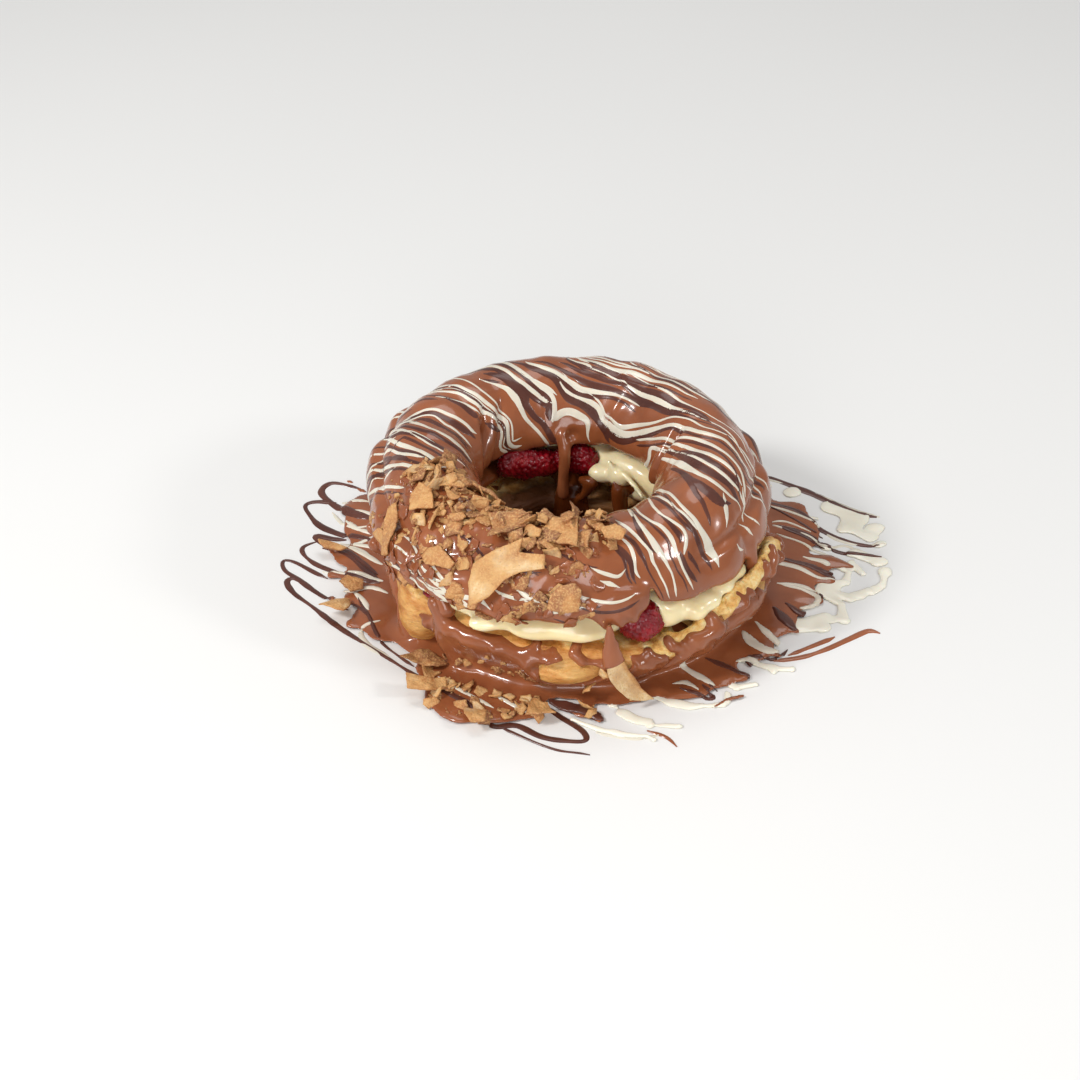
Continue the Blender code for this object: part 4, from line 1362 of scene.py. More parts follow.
def add_ring_lines(ribbons, lines, tree, seed, rng, thin=1.0):
    """The lines over the ring; those that start at the top of the back run on down it."""
    for number, rows in enumerate(lines):
        tail = rng.uniform(3, 16) * MM if starts_at_back(rows) else 0.0
        pour(ribbons, tree, rows, seed + number, tail, 0.0, thin)


def add_companions(ribbons, lines, tree, seed, rng, share, aside, thin):
    """Thinner lines that run close beside some of the lines over the ring."""
    for number, rows in enumerate(lines):
        crowded = not 55 < rows[0][0] < 150 and ribbons.name == "white_drizzle"
        if rng.uniform() < share and len(rows) > 3 and not crowded:
            tail = rng.uniform(2, 12) * MM if starts_at_back(rows) else 0.0
            beside = aside * rng.uniform(0.75, 1.25)
            pour(ribbons, tree, rows, seed + number, tail, beside, thin * rng.uniform(0.8, 1.2))


def add_back_runs(white, dark, tree, rng):
    """The ends of the lines on the side away from the camera."""
    for number, direction in enumerate(np.arange(*BACK_RUNS)):
        ribbons = white if rng.uniform() < 0.55 else dark
        lean, low = rng.uniform(-4.0, 3.0), rng.uniform(-24.0, 10.0)
        start = direction + rng.uniform(-2.0, 2.0)
        half = rng.uniform(0.5, 1.1)
        rows = ((start, 54.0, 0.6 * half), (start + 0.4 * lean, 30.0, half), (start + lean, low, 0.7 * half))
        pour(ribbons, tree, rows, 900 + number)


HEAP_MIDDLE = 238.0
HEAP_LINES = 11
RING_PROUD = 0.55


def tree_of(*objs):
    """One search tree over several objects."""
    points, faces, count = [], [], 0
    for obj in objs:
        co = points_of(obj.data)
        points += co.tolist()
        corners = np.empty(len(obj.data.loops), np.int32)
        obj.data.loops.foreach_get("vertex_index", corners)
        sides = len(obj.data.polygons[0].vertices)
        faces += (corners.reshape(-1, sides) + count).tolist()
        count += len(co)
    return BVHTree.FromPolygons(points, faces)


# Lines that lie on the sauce round the ring and on what it stands on: half width and points, in mm
DARK_LINES = (
    (1.8, ((-68, 37), (-72, 39), (-76, 42), (-81, 47))),
    (0.9, ((-64, 4), (-69, 11), (-75, 18), (-79, 21), (-84, 22))),
    (0.7, ((-66, -20), (-69, -14), (-74, -10), (-78, -10))),
    (0.7, ((70, 46), (79, 37), (88, 28))),
    (1.1, ((73, 33), (80, 28), (88, 21))),
    (1.6, ((78, 12), (84, 8), (89, 6))),
    (1.0, ((38, -52), (42, -54), (47, -58))),
    (1.1, ((-73, 59), (-79, 62), (-84, 63), (-87, 58), (-85, 53), (-80, 47), (-73, 41), (-63, 34))),
    (1.1, ((-81, 50), (-88, 51), (-92, 49), (-90, 43), (-85, 35), (-74, 28), (-66, 24))),
    (1.2, ((-76, 27), (-82, 28), (-87, 30), (-85, 26), (-80, 21), (-74, 15), (-69, 8), (-64, 2))),
    (1.1, ((-86, 26), (-91, 23), (-90, 18), (-86, 13), (-82, 10), (-72, 4), (-63, -1))),
    (0.9, ((-81, 4), (-86, 8), (-93, 14), (-97, 15), (-96, 9), (-91, 4), (-86, -2), (-80, -8), (-73, -14))),
    (1.0, ((-88, 1), (-93, 5), (-95, 3), (-92, -4), (-85, -12), (-75, -24), (-64, -35), (-53, -46),
           (-38, -61),
           (-30, -68), (-24, -76), (-17, -75), (-9, -81), (-1, -83), (5, -83), (4, -78), (-3, -71),
           (-9, -64))),
    (0.6, ((-70, -9), (-66, -19), (-61, -32), (-50, -45))),
    (0.6, ((-22, -76), (-15, -81), (-9, -85), (-3, -88), (3, -89), (6, -90))),
    (1.2, ((70, 68), (80, 61), (89, 54), (99, 45), (108, 41))),
    (1.1, ((72, 33), (80, 30), (87, 25), (92, 20), (98, 18), (107, 16))),
    (0.9, ((67, 50), (81, 43), (88, 33), (95, 27), (101, 24), (107, 23))),
    (2.2, ((-6, -64), (0, -67), (6, -70), (13, -74))),
    (1.5, ((72, -12), (77, -17), (83, -17), (88, -13), (87, -9), (84, -6))),
    (2.4, ((68, -15), (71, -21), (74, -26))),
    (0.9, ((55, -40), (61, -41), (67, -41), (71, -36))),
    (1.4, ((44, -43), (51, -47), (58, -51), (61, -49), (57, -43))),
    (1.1, ((31, -56), (36, -59), (41, -61), (46, -62), (43, -57), (37, -52))),
    (1.0, ((68, 16), (78, 11), (86, 6), (90, 2))),
)
MILK_LINES = (
    (0.9, ((66, -42), (75, -40), (83, -36), (93, -29), (99, -25), (102, -27))),
    (0.8, ((71, -39), (79, -34), (87, -29))),
    (1.1, ((-74, 59), (-72, 58), (-71, 57))),
    (1.0, ((-78, 64), (-77, 64), (-76, 63))),
    (0.8, ((24, -78), (30, -81), (33, -86))),
)
WHITE_LINES = (
    (1.3, ((71, -1), (77, -4), (83, -8), (82, -12), (77, -14))),
    (1.3, ((61, -22), (64, -27), (68, -33), (69, -36))),
    (1.7, ((57, -28), (60, -34), (64, -38), (69, -37))),
    (1.5, ((54, -43), (58, -42), (63, -46))),
    (0.9, ((45, -43), (50, -47), (54, -49))),
    (1.5, ((32, -43), (36, -47), (40, -51), (46, -56))),
    (1.3, ((33, -56), (37, -55), (41, -59))),
    (0.7, ((70, 66), (80, 61), (90, 54), (100, 46), (109, 41))),
    (0.9, ((66, 47), (76, 43), (86, 36), (92, 28), (100, 24), (109, 24))),
    (0.8, ((71, 33), (80, 30), (89, 22), (95, 24), (100, 20))),
    (0.8, ((71, 35), (75, 36), (84, 30))),
    (0.6, ((72, 28), (82, 22), (90, 17))),
    (0.9, ((80, 15), (86, 13), (90, 9))),
    (1.0, ((68, 12), (76, 9), (84, 3), (90, 2))),
    (1.1, ((70, -1), (77, -2), (83, -5))),
    (0.9, ((-62, 36), (-70, 41), (-75, 43))),
    (0.9, ((-69, 48), (-74, 50), (-79, 50))),
    (0.8, ((-67, 33), (-73, 32), (-78, 37), (-82, 44))),
    (1.3, ((-60, 27), (-66, 28), (-72, 31), (-77, 38))),
    (0.8, ((-66, 27), (-70, 24), (-74, 23), (-78, 25))),
    (1.0, ((-62, 18), (-68, 21), (-76, 24), (-80, 22))),
    (0.8, ((-67, 15), (-71, 19), (-76, 23))),
    (1.1, ((-61, 8), (-65, 12), (-70, 17), (-75, 21))),
    (0.9, ((-64, 1), (-69, 5), (-75, 7), (-80, 9))),
    (1.0, ((-62, 0), (-68, 3), (-76, 6), (-83, 8))),
    (1.3, ((-60, -7), (-66, -3), (-72, -5), (-76, -3))),
    (0.9, ((-66, -16), (-68, -11), (-72, -5))),
    (1.0, ((-62, -22), (-68, -25), (-66, -33), (-58, -40))),
    (0.8, ((-42, -52), (-34, -60), (-24, -69))),
    (0.9, ((-24, -62), (-18, -67), (-10, -72))),
    (0.7, ((28, -80), (20, -82), (8, -79))),
)
# Pools of white chocolate on what the ring stands on, as x, y and half width in mm
WHITE_POOLS = (
    ((69, 63, 2.0), (80, 56, 4.0), (92, 47, 5.4), (102, 40, 5.2), (107, 35, 3.6)),
    ((82, 43, 2.4), (96, 34, 4.4), (104, 29, 4.6), (108, 24, 3.0)),
    ((88, 23, 2.6), (98, 19, 4.4), (105, 14, 4.2), (108, 8, 2.4)),
    ((90, 14, 2.6), (95, 8, 2.4), (92, 1, 3.0), (86, -1, 3.0)),
    ((108, 8, 2.2), (106, 0, 2.4), (101, -4, 3.0), (94, -8, 2.8), (88, -4, 2.6)),
    ((97, 12, 1.8), (101, 7, 1.4)),
    ((84, -4, 2.0), (90, -12, 2.4), (90, -20, 3.0), (83, -25, 4.0), (75, -25, 4.4), (70, -19, 3.0)),
    ((70, -14, 2.4), (76, -21, 3.6), (84, -19, 3.4)),
    ((60, -43, 2.2), (66, -46, 2.8), (72, -46, 1.4)),
    ((48, -53, 1.8), (54, -56, 2.4), (60, -54, 1.6)),
    ((27, -59, 2.4), (33, -64, 3.2), (41, -66, 2.8), (48, -65, 1.6), (50, -60, 1.6)),
    ((13, -65, 2.4), (17, -70, 3.4), (25, -74, 3.2), (33, -76, 1.6)),
    ((0, -72, 1.0), (8, -77, 1.6), (20, -81, 1.4), (27, -82, 1.0)),
)
WHITE_LENS = 0.9 * MM
LINE_SPACING = 1.0 * MM
WIDE = 1.3                            # lines at least this wide on each side are patches instead, in mm
FLAT_TO = 6.0 * MM                    # lines in the sauce start below this height


def smooth_line(points, spacing):
    """Evenly spaced points of a smooth curve through a few given ones."""
    p = np.asarray(points, float)
    p = np.concatenate((2 * p[:1] - p[1:2], p, 2 * p[-1:] - p[-2:-1]))
    found = []
    for a, b, c, d in zip(p, p[1:], p[2:], p[3:]):
        steps = max(2, int(np.linalg.norm(c - b) / spacing))
        for t in np.arange(steps) / steps:
            found.append(0.5 * (2 * b + (c - a) * t + (2 * a - 5 * b + 4 * c - d) * t**2
                                + (3 * b - a - 3 * c + d) * t**3))
    found.append(p[-2])
    return np.array(found)


def add_lines(ribbons, lines, tree, height, seed):
    """Lines of sauce given by a few points each, dropped on the pool or on what the ring stands on."""
    for number, (half, points) in enumerate(lines):
        if half >= WIDE:
            continue
        plan = smooth_line(np.array(points, float) * MM, LINE_SPACING)
        line = []
        for x, y in plan:
            place, _, _, _ = tree.ray_cast(Vector((x, y, 26 * MM)), Vector((0, 0, -1)))
            if place and place.z < FLAT_TO:
                line.append(tuple(place))
        if len(line) < 4:
            continue
        line = eased(np.array(line), 2)
        ribbons.add(line, width_along(line, half * MM, seed + 7 * number, 0.45), tree, height)


def add_heap_lines(ribbons, tree, rng, seed):
    """Wavy threads that show between the flakes on the front of the coat."""
    for number in range(HEAP_LINES):
        start = rng.uniform(198.0, 268.0)
        section = rng.uniform(-22.0, 62.0)
        slope, swing = rng.uniform(-0.9, -0.3), rng.uniform(2.0, 6.0)
        line = []
        for step in np.arange(0.0, min(rng.uniform(10.0, 30.0), 279.0 - start), 0.9):
            bend = section + slope * step + swing * math.sin(math.radians(17.0 * step) + number)
            place, _ = lid_point(tree, start + step, max(bend, -26.0))
            if place and place.z > coat_edge(place):
                line.append(tuple(place))
        half = rng.uniform(0.4, 0.8) * MM
        for part in unbroken(np.array(line)) if line else []:
            ribbons.add(part, width_along(part, half, seed + number, 0.5), tree, RING_PROUD)


def make_white_pools(looks):
    """The white chocolate that has run together beside the sauce, in a lighter white that is partly painted
    light.
    """
    places = np.array([row for rows in WHITE_POOLS for row in rows]) * MM
    margin = 6 * MM
    low = (places[:, 0].min() - margin, places[:, 1].min() - margin, -1 * MM)
    high = (places[:, 0].max() + margin, places[:, 1].max() + margin, 3 * MM)
    block = Block(low, high, 0.42 * MM)
    field = np.full(block.shape, 5 * MM, np.float32)
    for rows in WHITE_POOLS:
        field = add_tongue(block, field, rows, WHITE_LENS, 1.6 * MM)
    pool = block.surface("white_pools", np.maximum(field, -block.z), SAUCE_ADAPT)
    co = points_of(pool.data)
    flat = co * (1.0, 1.0, 0.0)
    co[:, 0] += 1.1 * MM * rough(flat, 7 * MM, 95, 2)
    co[:, 1] += 1.1 * MM * rough(flat, 7 * MM, 97, 2)
    move_points(pool.data, co)
    return finish(pool, looks["cream"], "white_chocolate")


def make_drizzle(looks, glaze, sauce):
    """White and dark chocolate poured over everything from the spoon, back and forth."""
    rng = np.random.default_rng(11)
    on_lid = tree_of(glaze)
    ground = mesh_from("ground", *ground_plane())
    pools = make_white_pools(looks)
    on_floor = tree_of(sauce, pools, ground)
    bpy.data.objects.remove(ground, do_unlink=True)
    white = Ribbons("white_drizzle")
    dark = Ribbons("dark_drizzle")
    add_ring_lines(white, WHITE_ON_RING, on_lid, 200, rng)
    add_ring_lines(dark, DARK_ON_RING, on_lid, 300, rng, 1.35)
    add_companions(dark, WHITE_ON_RING, on_lid, 1000, rng, 0.75, 1.9, 0.95)
    add_companions(white, WHITE_ON_RING, on_lid, 1100, rng, 0.55, -2.6, 0.55)
    add_companions(white, DARK_ON_RING, on_lid, 1200, rng, 0.35, 2.4, 0.5)
    add_back_runs(white, dark, on_lid, rng)
    add_heap_lines(white, on_lid, rng, 700)
    add_heap_lines(dark, on_lid, rng, 800)
    add_lines(white, WHITE_LINES, on_floor, 2.2, 400)
    finish(white.made(), looks["white"], "white_chocolate")
    add_lines(dark, DARK_LINES, on_floor, 2.6, 500)
    finish(dark.made(), looks["dark"], "dark_chocolate")
    milk = Ribbons("milk_lines")
    add_lines(milk, MILK_LINES, on_floor, 2.6, 600)
    finish(milk.made(), looks["milk"], "milk_chocolate")


def ground_plane():
    """Points and faces of a square a hair above the floor."""
    reach, level = 0.2, 0.02 * MM
    points = [(-reach, -reach, level), (reach, -reach, level), (reach, reach, level), (-reach, reach, level)]
    return points, [(0, 1, 2, 3)]


# ================================================================ wafer
# Outlines of the larger shards, in mm from their middle: right and up as they lie
SHARD_OUTLINES = {
    "wafer_lid_1": ((-1.6, 8.0), (3.2, 8.5), (4.3, 2.7), (3.2, -2.1), (1.1, -5.3), (0.0, -8.0), (-4.5, -7.0),
                    (-3.6, -2.0)),
    "wafer_lid_2": ((-0.8, 6.0), (3.5, 2.8), (4.0, -5.1), (-4.3, -3.5), (-4.0, 2.4)),
    "wafer_lid_3": ((-0.8, 4.8), (0.6, 2.0), (4.3, -1.9), (4.0, -3.2), (-3.8, -2.8), (-3.0, 1.0)),
    "wafer_lid_4": ((-6.0, 3.0), (-4.0, 3.4), (6.0, -1.8), (5.6, -3.4), (-5.6, 0.8)),
    "wafer_lid_5": ((-6.0, 2.4), (-3.4, 4.6), (0.6, 5.2), (3.8, 2.2), (6.2, -1.0), (4.8, -2.8), (0.4, -1.6),
                    (-4.4, -0.6)),
    "wafer_lid_6": ((-6.7, 5.3), (4.0, 5.6), (6.7, 2.7), (6.1, -0.5), (-0.3, -4.3), (-6.7, -6.7),
                    (-5.2, -1.0)),
    "wafer_lid_7": ((-11.4, -11.0), (-11.2, -3.7), (-9.1, 2.1), (-3.2, 5.9), (6.4, 9.9), (5.3, 5.6),
                    (13.4, 4.8),
                    (13.6, 0.5), (9.1, 1.1), (4.8, -1.1), (1.1, -2.7), (-4.3, -8.0), (-9.1, -10.4)),
    "wafer_lid_8": ((-3.2, 5.3), (4.5, 6.4), (4.8, -1.6), (4.3, -8.0), (1.6, -6.2), (-2.0, -4.6),
                    (-7.0, 0.4)),
    "wafer_lid_9": ((-5.4, -3.2), (-4.2, 1.2), (-1.0, 4.0), (3.4, 5.0), (5.4, 2.6), (4.6, -4.2),
                    (-1.4, -4.4)),
    "wafer_lid_10": ((-4.0, 1.8), (0.6, 3.4), (4.0, 0.6), (2.6, -2.6), (-2.8, -2.2)),
    "wafer_sauce_1": ((-8.0, -1.0), (-3.0, 4.0), (1.0, 6.0), (8.0, 0.0), (4.0, -2.6), (-2.0, -1.6)),
    "wafer_sauce_2": ((-6.4, 3.0), (0.0, 1.6), (6.4, 3.4), (7.0, -1.0), (1.0, -4.0), (-6.0, -4.8)),
    "wafer_sauce_3": ((-3.4, 4.6), (3.8, 2.8), (3.4, -4.6), (-1.0, -5.6), (-3.2, -0.6)),
    "wafer_sauce_4": ((-2.6, 5.4), (2.2, 3.4), (5.0, -1.6), (-0.6, -4.0), (-4.4, -5.0), (-3.6, 0.6)),
    "wafer_sauce_5": ((3.8, 6.0), (4.2, -1.4), (2.2, -5.6), (-6.2, -2.0), (-1.0, 1.0)),
    "wafer_sauce_6": ((-4.4, 1.0), (-1.6, 3.8), (3.6, 2.6), (4.4, -1.4), (0.0, -3.6)),
    "wafer_sauce_7": ((-5.2, 2.4), (-0.8, 1.4), (5.4, -1.4), (3.4, -2.8), (-2.6, -2.4), (-4.6, -0.4)),
}
SHARD_TONES = {
    "wafer_lid_2": 0.70, "wafer_lid_3": 0.72, "wafer_lid_6": 0.28, "wafer_lid_7": 0.80, "wafer_lid_8": 0.66,
    "wafer_lid_1": 0.62, "wafer_lid_4": 0.34, "wafer_lid_5": 0.56, "wafer_lid_9": 0.40, "wafer_lid_10": 0.54,
    "wafer_sauce_1": 0.36, "wafer_sauce_2": 0.80, "wafer_sauce_3": 0.78, "wafer_sauce_4": 0.55,
    "wafer_sauce_5": 0.72, "wafer_sauce_6": 0.50, "wafer_sauce_7": 0.68,
}


def outline_reach(corners, angles):
    """How far a shard reaches from its middle in each direction; its corners go round the middle."""
    corners = np.asarray(corners, float)
    if np.cross(corners[0], corners[1]) < 0:
        corners = corners[::-1]
    reach = np.zeros(len(angles))
    for a, b in zip(corners, np.roll(corners, -1, axis=0)):
        ray = np.stack((np.cos(angles), np.sin(angles)), 1)
        side = b - a
        bottom = ray[:, 0] * side[1] - ray[:, 1] * side[0]
        with np.errstate(divide="ignore", invalid="ignore"):
            far = (a[0] * side[1] - a[1] * side[0]) / bottom
            along = (a[0] * ray[:, 1] - a[1] * ray[:, 0]) / bottom
        good = (far > 0) & (along >= -1e-6) & (along <= 1 + 1e-6)
        reach = np.where(good, np.maximum(reach, far), reach)
    blank = reach <= 0
    reach[blank] = np.interp(angles[blank], angles[~blank], reach[~blank], period=2 * np.pi)
    return reach


def shard_points(reach, angles, rings, thickness, bend, bend_turn, seed, offset):
    """Points of a thin bent shard in its own frame: the top in rings from its middle, then the bottom."""
    shares = (np.arange(rings) + 1) / rings
    shares = 1.0 - (1.0 - shares) ** 1.25
    flat = [np.zeros((1, 2))]
    for share in shares:
        flat.append(np.stack((np.cos(angles), np.sin(angles)), 1) * (reach * share)[:, None])
    flat = np.concatenate(flat)
    place = np.concatenate((flat, np.zeros((len(flat), 1))), 1) + offset
    across = flat[:, 0] * math.cos(bend_turn) + flat[:, 1] * math.sin(bend_turn)
    wave = 0.13 * reach.max() * noise(place, 0.8 * reach.max(), seed)
    wave = wave + 0.25 * MM * noise(place, 2.2 * MM, seed + 3)
    lift = bend * across**2 / max(reach.max(), 1e-9) + wave
    grain = 0.15 * MM * noise(place, 1.0 * MM, seed + 5)
    edge = np.concatenate(([1.0], np.repeat(1.0 - 0.45 * shares**6, len(angles))))
    half = 0.5 * thickness * edge
    top = np.concatenate((flat, (lift + half + grain)[:, None]), 1)
    bottom = np.concatenate((flat, (lift - half + 0.5 * grain)[:, None]), 1)
    return top, bottom


def shard_faces(sides, rings, first):
    """Triangles of a shard: its top, its bottom and the strip round its edge."""
    count = 1 + sides * rings
    j = np.arange(sides)
    k = (j + 1) % sides
    tops = [np.stack((np.zeros_like(j), 1 + j, 1 + k), -1)]
    for ring in range(rings - 1):
        a, b = 1 + ring * sides + j, 1 + ring * sides + k
        c, d = b + sides, a + sides
        tops += [np.stack((a, d, c), -1), np.stack((a, c, b), -1)]
    top = np.concatenate(tops)
    bottom = top[:, ::-1] + count
    a, b = 1 + (rings - 1) * sides + j, 1 + (rings - 1) * sides + k
    strip = np.concatenate((np.stack((a, a + count, b + count), -1), np.stack((a, b + count, b), -1)))
    return np.concatenate((top, bottom, strip)) + first, 2 * count


def facing_frame(normal):
    """Right and up directions of a piece that lies with this normal, as seen from the front."""
    right = Vector((1, 0, 0)) - normal * normal.x
    if right.length < 0.2:
        right = Vector((0, 1, 0)) - normal * normal.y
    right.normalize()
    return right, normal.cross(right)


class Shards:
    """Thin broken pieces that become one mesh, each with its own tone."""

    def __init__(self, name):
        self.name, self.points, self.faces, self.tones, self.count = name, [], [], [], 0

    def add(self, place, normal, turn, corners, sides, rings, thickness, bend, bend_turn, tone, seed, ragged):
        angles = np.arange(sides) * (2 * np.pi / sides)
        for corner in corners:
            towards = math.atan2(corner[1], corner[0])
            nearest = np.argmin(np.abs(away(np.degrees(angles), math.degrees(towards))))
            angles[nearest] = towards % (2 * np.pi)
        angles = np.sort(angles)
        reach = outline_reach(corners, angles) * MM
        rim = np.stack((np.cos(angles), np.sin(angles), np.zeros(sides)), 1) * reach[:, None]
        reach = reach + ragged * noise(rim + seed * 0.013, 1.1 * MM, seed)
        right, up = facing_frame(normal)
        c, s = math.cos(turn), math.sin(turn)
        u = np.array(right) * c + np.array(up) * s
        v = np.array(up) * c - np.array(right) * s
        offset = np.array([seed * 0.01] * 3)
        top, bottom = shard_points(reach, angles, rings, thickness, bend, bend_turn, seed, offset)
        local = np.concatenate((top, bottom))
        world = np.array(place) + local[:, :1] * u + local[:, 1:2] * v + local[:, 2:] * np.array(normal)
        world[:, 2] += max(0.0, -world[:, 2].min())
        faces, used = shard_faces(sides, rings, self.count)
        self.points.append(world)
        self.faces.append(faces)
        from_middle = np.concatenate(([0.0], np.repeat((np.arange(rings) + 1) / rings, sides)))
        toasted = 0.20 * np.tile(from_middle**6, 2)
        mottled = 0.26 * noise(world, 4.5 * MM, seed + 9) + 0.10 * noise(world, 1.2 * MM, seed + 11)
        self.tones.append(tone - toasted + mottled)
        self.count += used

    def made(self):
        obj = mesh_from(self.name, np.concatenate(self.points), np.concatenate(self.faces))
        mark(obj, "tone", np.clip(np.concatenate(self.tones), 0.0, 1.0))
        return obj


def node_frame(node):
    """Middle and upward normal of a flat CAD node."""
    co = points_of(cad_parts[node].data)
    middle = co.mean(0)
    _, _, axes = np.linalg.svd(co - middle, full_matrices=False)
    normal = Vector(axes[2])
    if normal.z - normal.y < 0:
        normal = -normal
    return Vector(middle), normal


def make_named_wafers(looks):
    """The larger shards, one piece for each CAD shard."""
    for number, (node, corners) in enumerate(SHARD_OUTLINES.items()):
        middle, normal = node_frame(node)
        piece = Shards(node.replace("wafer", "shard"))
        bend = 0.10 if number % 2 else -0.08
        piece.add(middle, normal, 0.0, corners, 56, 8, 0.95 * MM, bend, 0.7 * number, SHARD_TONES[node],
                  30 + number, 0.30 * MM)
        finish(piece.made(), looks["wafer"], "wafer", node)


def random_corners(rng, length, width):
    """A broken outline of four to six corners."""
    count = rng.integers(4, 7)
    turns = (np.arange(count) + rng.uniform(-0.32, 0.32, count)) * (2 * np.pi / count)
    far = rng.uniform(0.62, 1.0, count)
    return [(0.5 * length * f * math.cos(t), 0.5 * width * f * math.sin(t)) for f, t in zip(far, turns)]


def lid_point(tree, direction, section):
    """The point of the coat in a direction and at an angle up its section, with its normal."""
    turn, lean = math.radians(direction), math.radians(section)
    lift = LID_SLOPE * HEART_RADIUS * math.cos(math.radians(direction - LID_SLOPE_TO))
    out = Vector((math.cos(turn), math.sin(turn), 0.0))
    heart = Vector((LID_CENTRE.x, LID_CENTRE.y, HEART_HEIGHT + lift)) + out * HEART_RADIUS
    aim = out * math.cos(lean) + Vector((0, 0, 1)) * math.sin(lean)
    place, normal, _, _ = tree.ray_cast(heart + aim * 0.05, -aim)
    return place, normal


HEAP_FROM, HEAP_TO = 189.0, 289.0     # the flakes lie on the coat between these directions
SMALL_FLAKES = 170
MIDDLE_FLAKES = 150
SAUCE_FLAKES = 34
WALL_FLAKES = 22
COATED_FLAKES = 80
CRUMBS = 420


def heap_place(rng):
    """A direction and section angle in the heap of flakes, thickest along the top of the ring."""
    while True:
        direction = rng.uniform(HEAP_FROM, HEAP_TO)
        section = rng.uniform(-28.0, 150.0)
        ridge = math.exp(-(((section - 88.0) / 34.0) ** 2))
        front = math.exp(-(((section - 28.0) / 36.0) ** 2)) * 0.62
        last = HEAP_TO - (9.0 if section < 55.0 else 0.0)
        ends = min((direction - HEAP_FROM) / 8.0, (last - direction) / 12.0, 1.0)
        if rng.uniform() < max(ridge, front, 0.12) * ends:
            return direction, section, ridge


def tilted(normal, rng, spread):
    """The normal leaned by a random amount."""
    lean = Vector(rng.normal(0.0, spread, 3))
    return (normal + lean).normalized()


def add_flake(heap, place, normal, rng, length, seed, lift, spread):
    """One small flake on a surface."""
    width = length * rng.uniform(0.5, 0.95)
    facing = tilted(normal, rng, spread)
    fine = length > 5.0
    heap.add(
        place + normal * lift, facing, rng.uniform(0, 2 * math.pi), random_corners(rng, length, width),
        22 if fine else 13, 3 if fine else 2, rng.uniform(0.5, 0.9) * MM, rng.uniform(-0.5, 0.5),
        rng.uniform(0, 3.1), rng.beta(1.3, 1.15), seed, 0.22 * MM,
    )


def sauce_place(rng, tree):
    """A point on the sauce at the front left, with its normal."""
    while True:
        direction = rng.uniform(196.0, 288.0)
        radius = rng.uniform(62.0, 88.0)
        x, y, _ = round_base(direction, radius, 0.0)
        near = math.exp(-(((direction - 252.0) / 36.0) ** 4)) * math.exp(-(((radius - 72.0) / 14.0) ** 4))
        if rng.uniform() < near:
            place, normal, _, _ = tree.ray_cast(Vector((x, y, 28 * MM)), Vector((0, 0, -1)))
            if place and normal.z > 0.4 and place.z < 15 * MM:
                return place, normal


def make_flakes(looks, glaze, sauce):
    """The heap of small flakes on the coat, and those fallen in the sauce."""
    rng = np.random.default_rng(5)
    on_lid, on_sauce = tree_of(glaze), tree_of(sauce)
    heap = Shards("wafer_flakes")
    for number in range(SMALL_FLAKES):
        direction, section, ridge = heap_place(rng)
        place, normal = lid_point(on_lid, direction, section)
        if place:
            lift = (-0.1 + 2.0 * ridge * rng.uniform()) * MM
            add_flake(heap, place, normal, rng, rng.uniform(2.2, 5.0), 700 + number, lift, 0.16 + 0.5 * ridge)
    for number in range(MIDDLE_FLAKES):
        direction, section, ridge = heap_place(rng)
        place, normal = lid_point(on_lid, direction, section)
        if place:
            lift = (-0.1 + 3.2 * ridge * rng.uniform()) * MM
            size = rng.uniform(5.0, 11.5)
            add_flake(heap, place, normal, rng, size, 1300 + number, lift, 0.14 + 0.50 * ridge)
    for number in range(SAUCE_FLAKES):
        place, normal = sauce_place(rng, on_sauce)
        add_flake(heap, place, normal, rng, rng.uniform(4.2, 9.4), 1600 + number, 0.5 * MM, 0.30)
    for number in range(WALL_FLAKES):
        turn = math.radians(rng.uniform(217.0, 284.0))
        outward = Vector((math.cos(turn), math.sin(turn), 0.0))
        level = Vector((0.0, 0.0, rng.uniform(4.0, 13.0) * MM))
        place, normal, _, _ = on_sauce.ray_cast(outward * 0.1 + level, -outward, 0.05)
        if place:
            add_flake(heap, place, normal, rng, rng.uniform(3.5, 8.0), 1700 + number, 0.2 * MM, 0.22)
    finish(heap.made(), looks["wafer"], "wafer")
    coated = Shards("coated_flakes")
    for number in range(COATED_FLAKES):
        place, normal = lid_point(on_lid, rng.uniform(194.0, 282.0), rng.uniform(-24.0, 66.0))
        if place and place.z > coat_edge(place):
            add_flake(coated, place, normal, rng, rng.uniform(3.5, 8.5), 2800 + number, 0.1 * MM, 0.22)
    finish(coated.made(), looks["milk"], "milk_chocolate")

    crumbs = Shards("wafer_crumbs")
    for number in range(CRUMBS):
        if rng.uniform() < 0.90:
            direction, section, ridge = heap_place(rng)
            place, normal = lid_point(on_lid, direction, section)
        else:
            place, normal = sauce_place(rng, on_sauce)
        if place:
            length = rng.uniform(0.6, 1.9)
            crumbs.add(
                place + normal * (0.1 * MM), tilted(normal, rng, 0.5), rng.uniform(0, 6.3),
                random_corners(rng, length, length * rng.uniform(0.6, 1.0)), 7, 1,
                rng.uniform(0.4, 0.8) * MM, 0.0, 0.0, rng.beta(2.0, 1.6), 2000 + number, 0.1 * MM,
            )
    finish(crumbs.made(), looks["wafer"], "wafer")


# ---------------------------------------------------------------- the long curl at the front
CURL_LINE = (                         # x, y, z and half width from the foot to the head, in mm
    (26.5, -64.2, 1.8, 0.15),
    (22.4, -65.2, 4.4, 1.9),
    (19.0, -66.4, 7.9, 3.0),
    (15.4, -67.6, 14.0, 3.4),
    (13.2, -68.0, 21.0, 2.7),
    (12.4, -67.6, 26.6, 1.7),
    (12.0, -66.8, 32.6, 0.3),
)
CURL_SPACING = 0.6 * MM
CURL_ACROSS = 9
CURL_THICKNESS = 0.8 * MM
CURL_DIPPED = 0.60                    # the coat covers the curl from this share of its length up


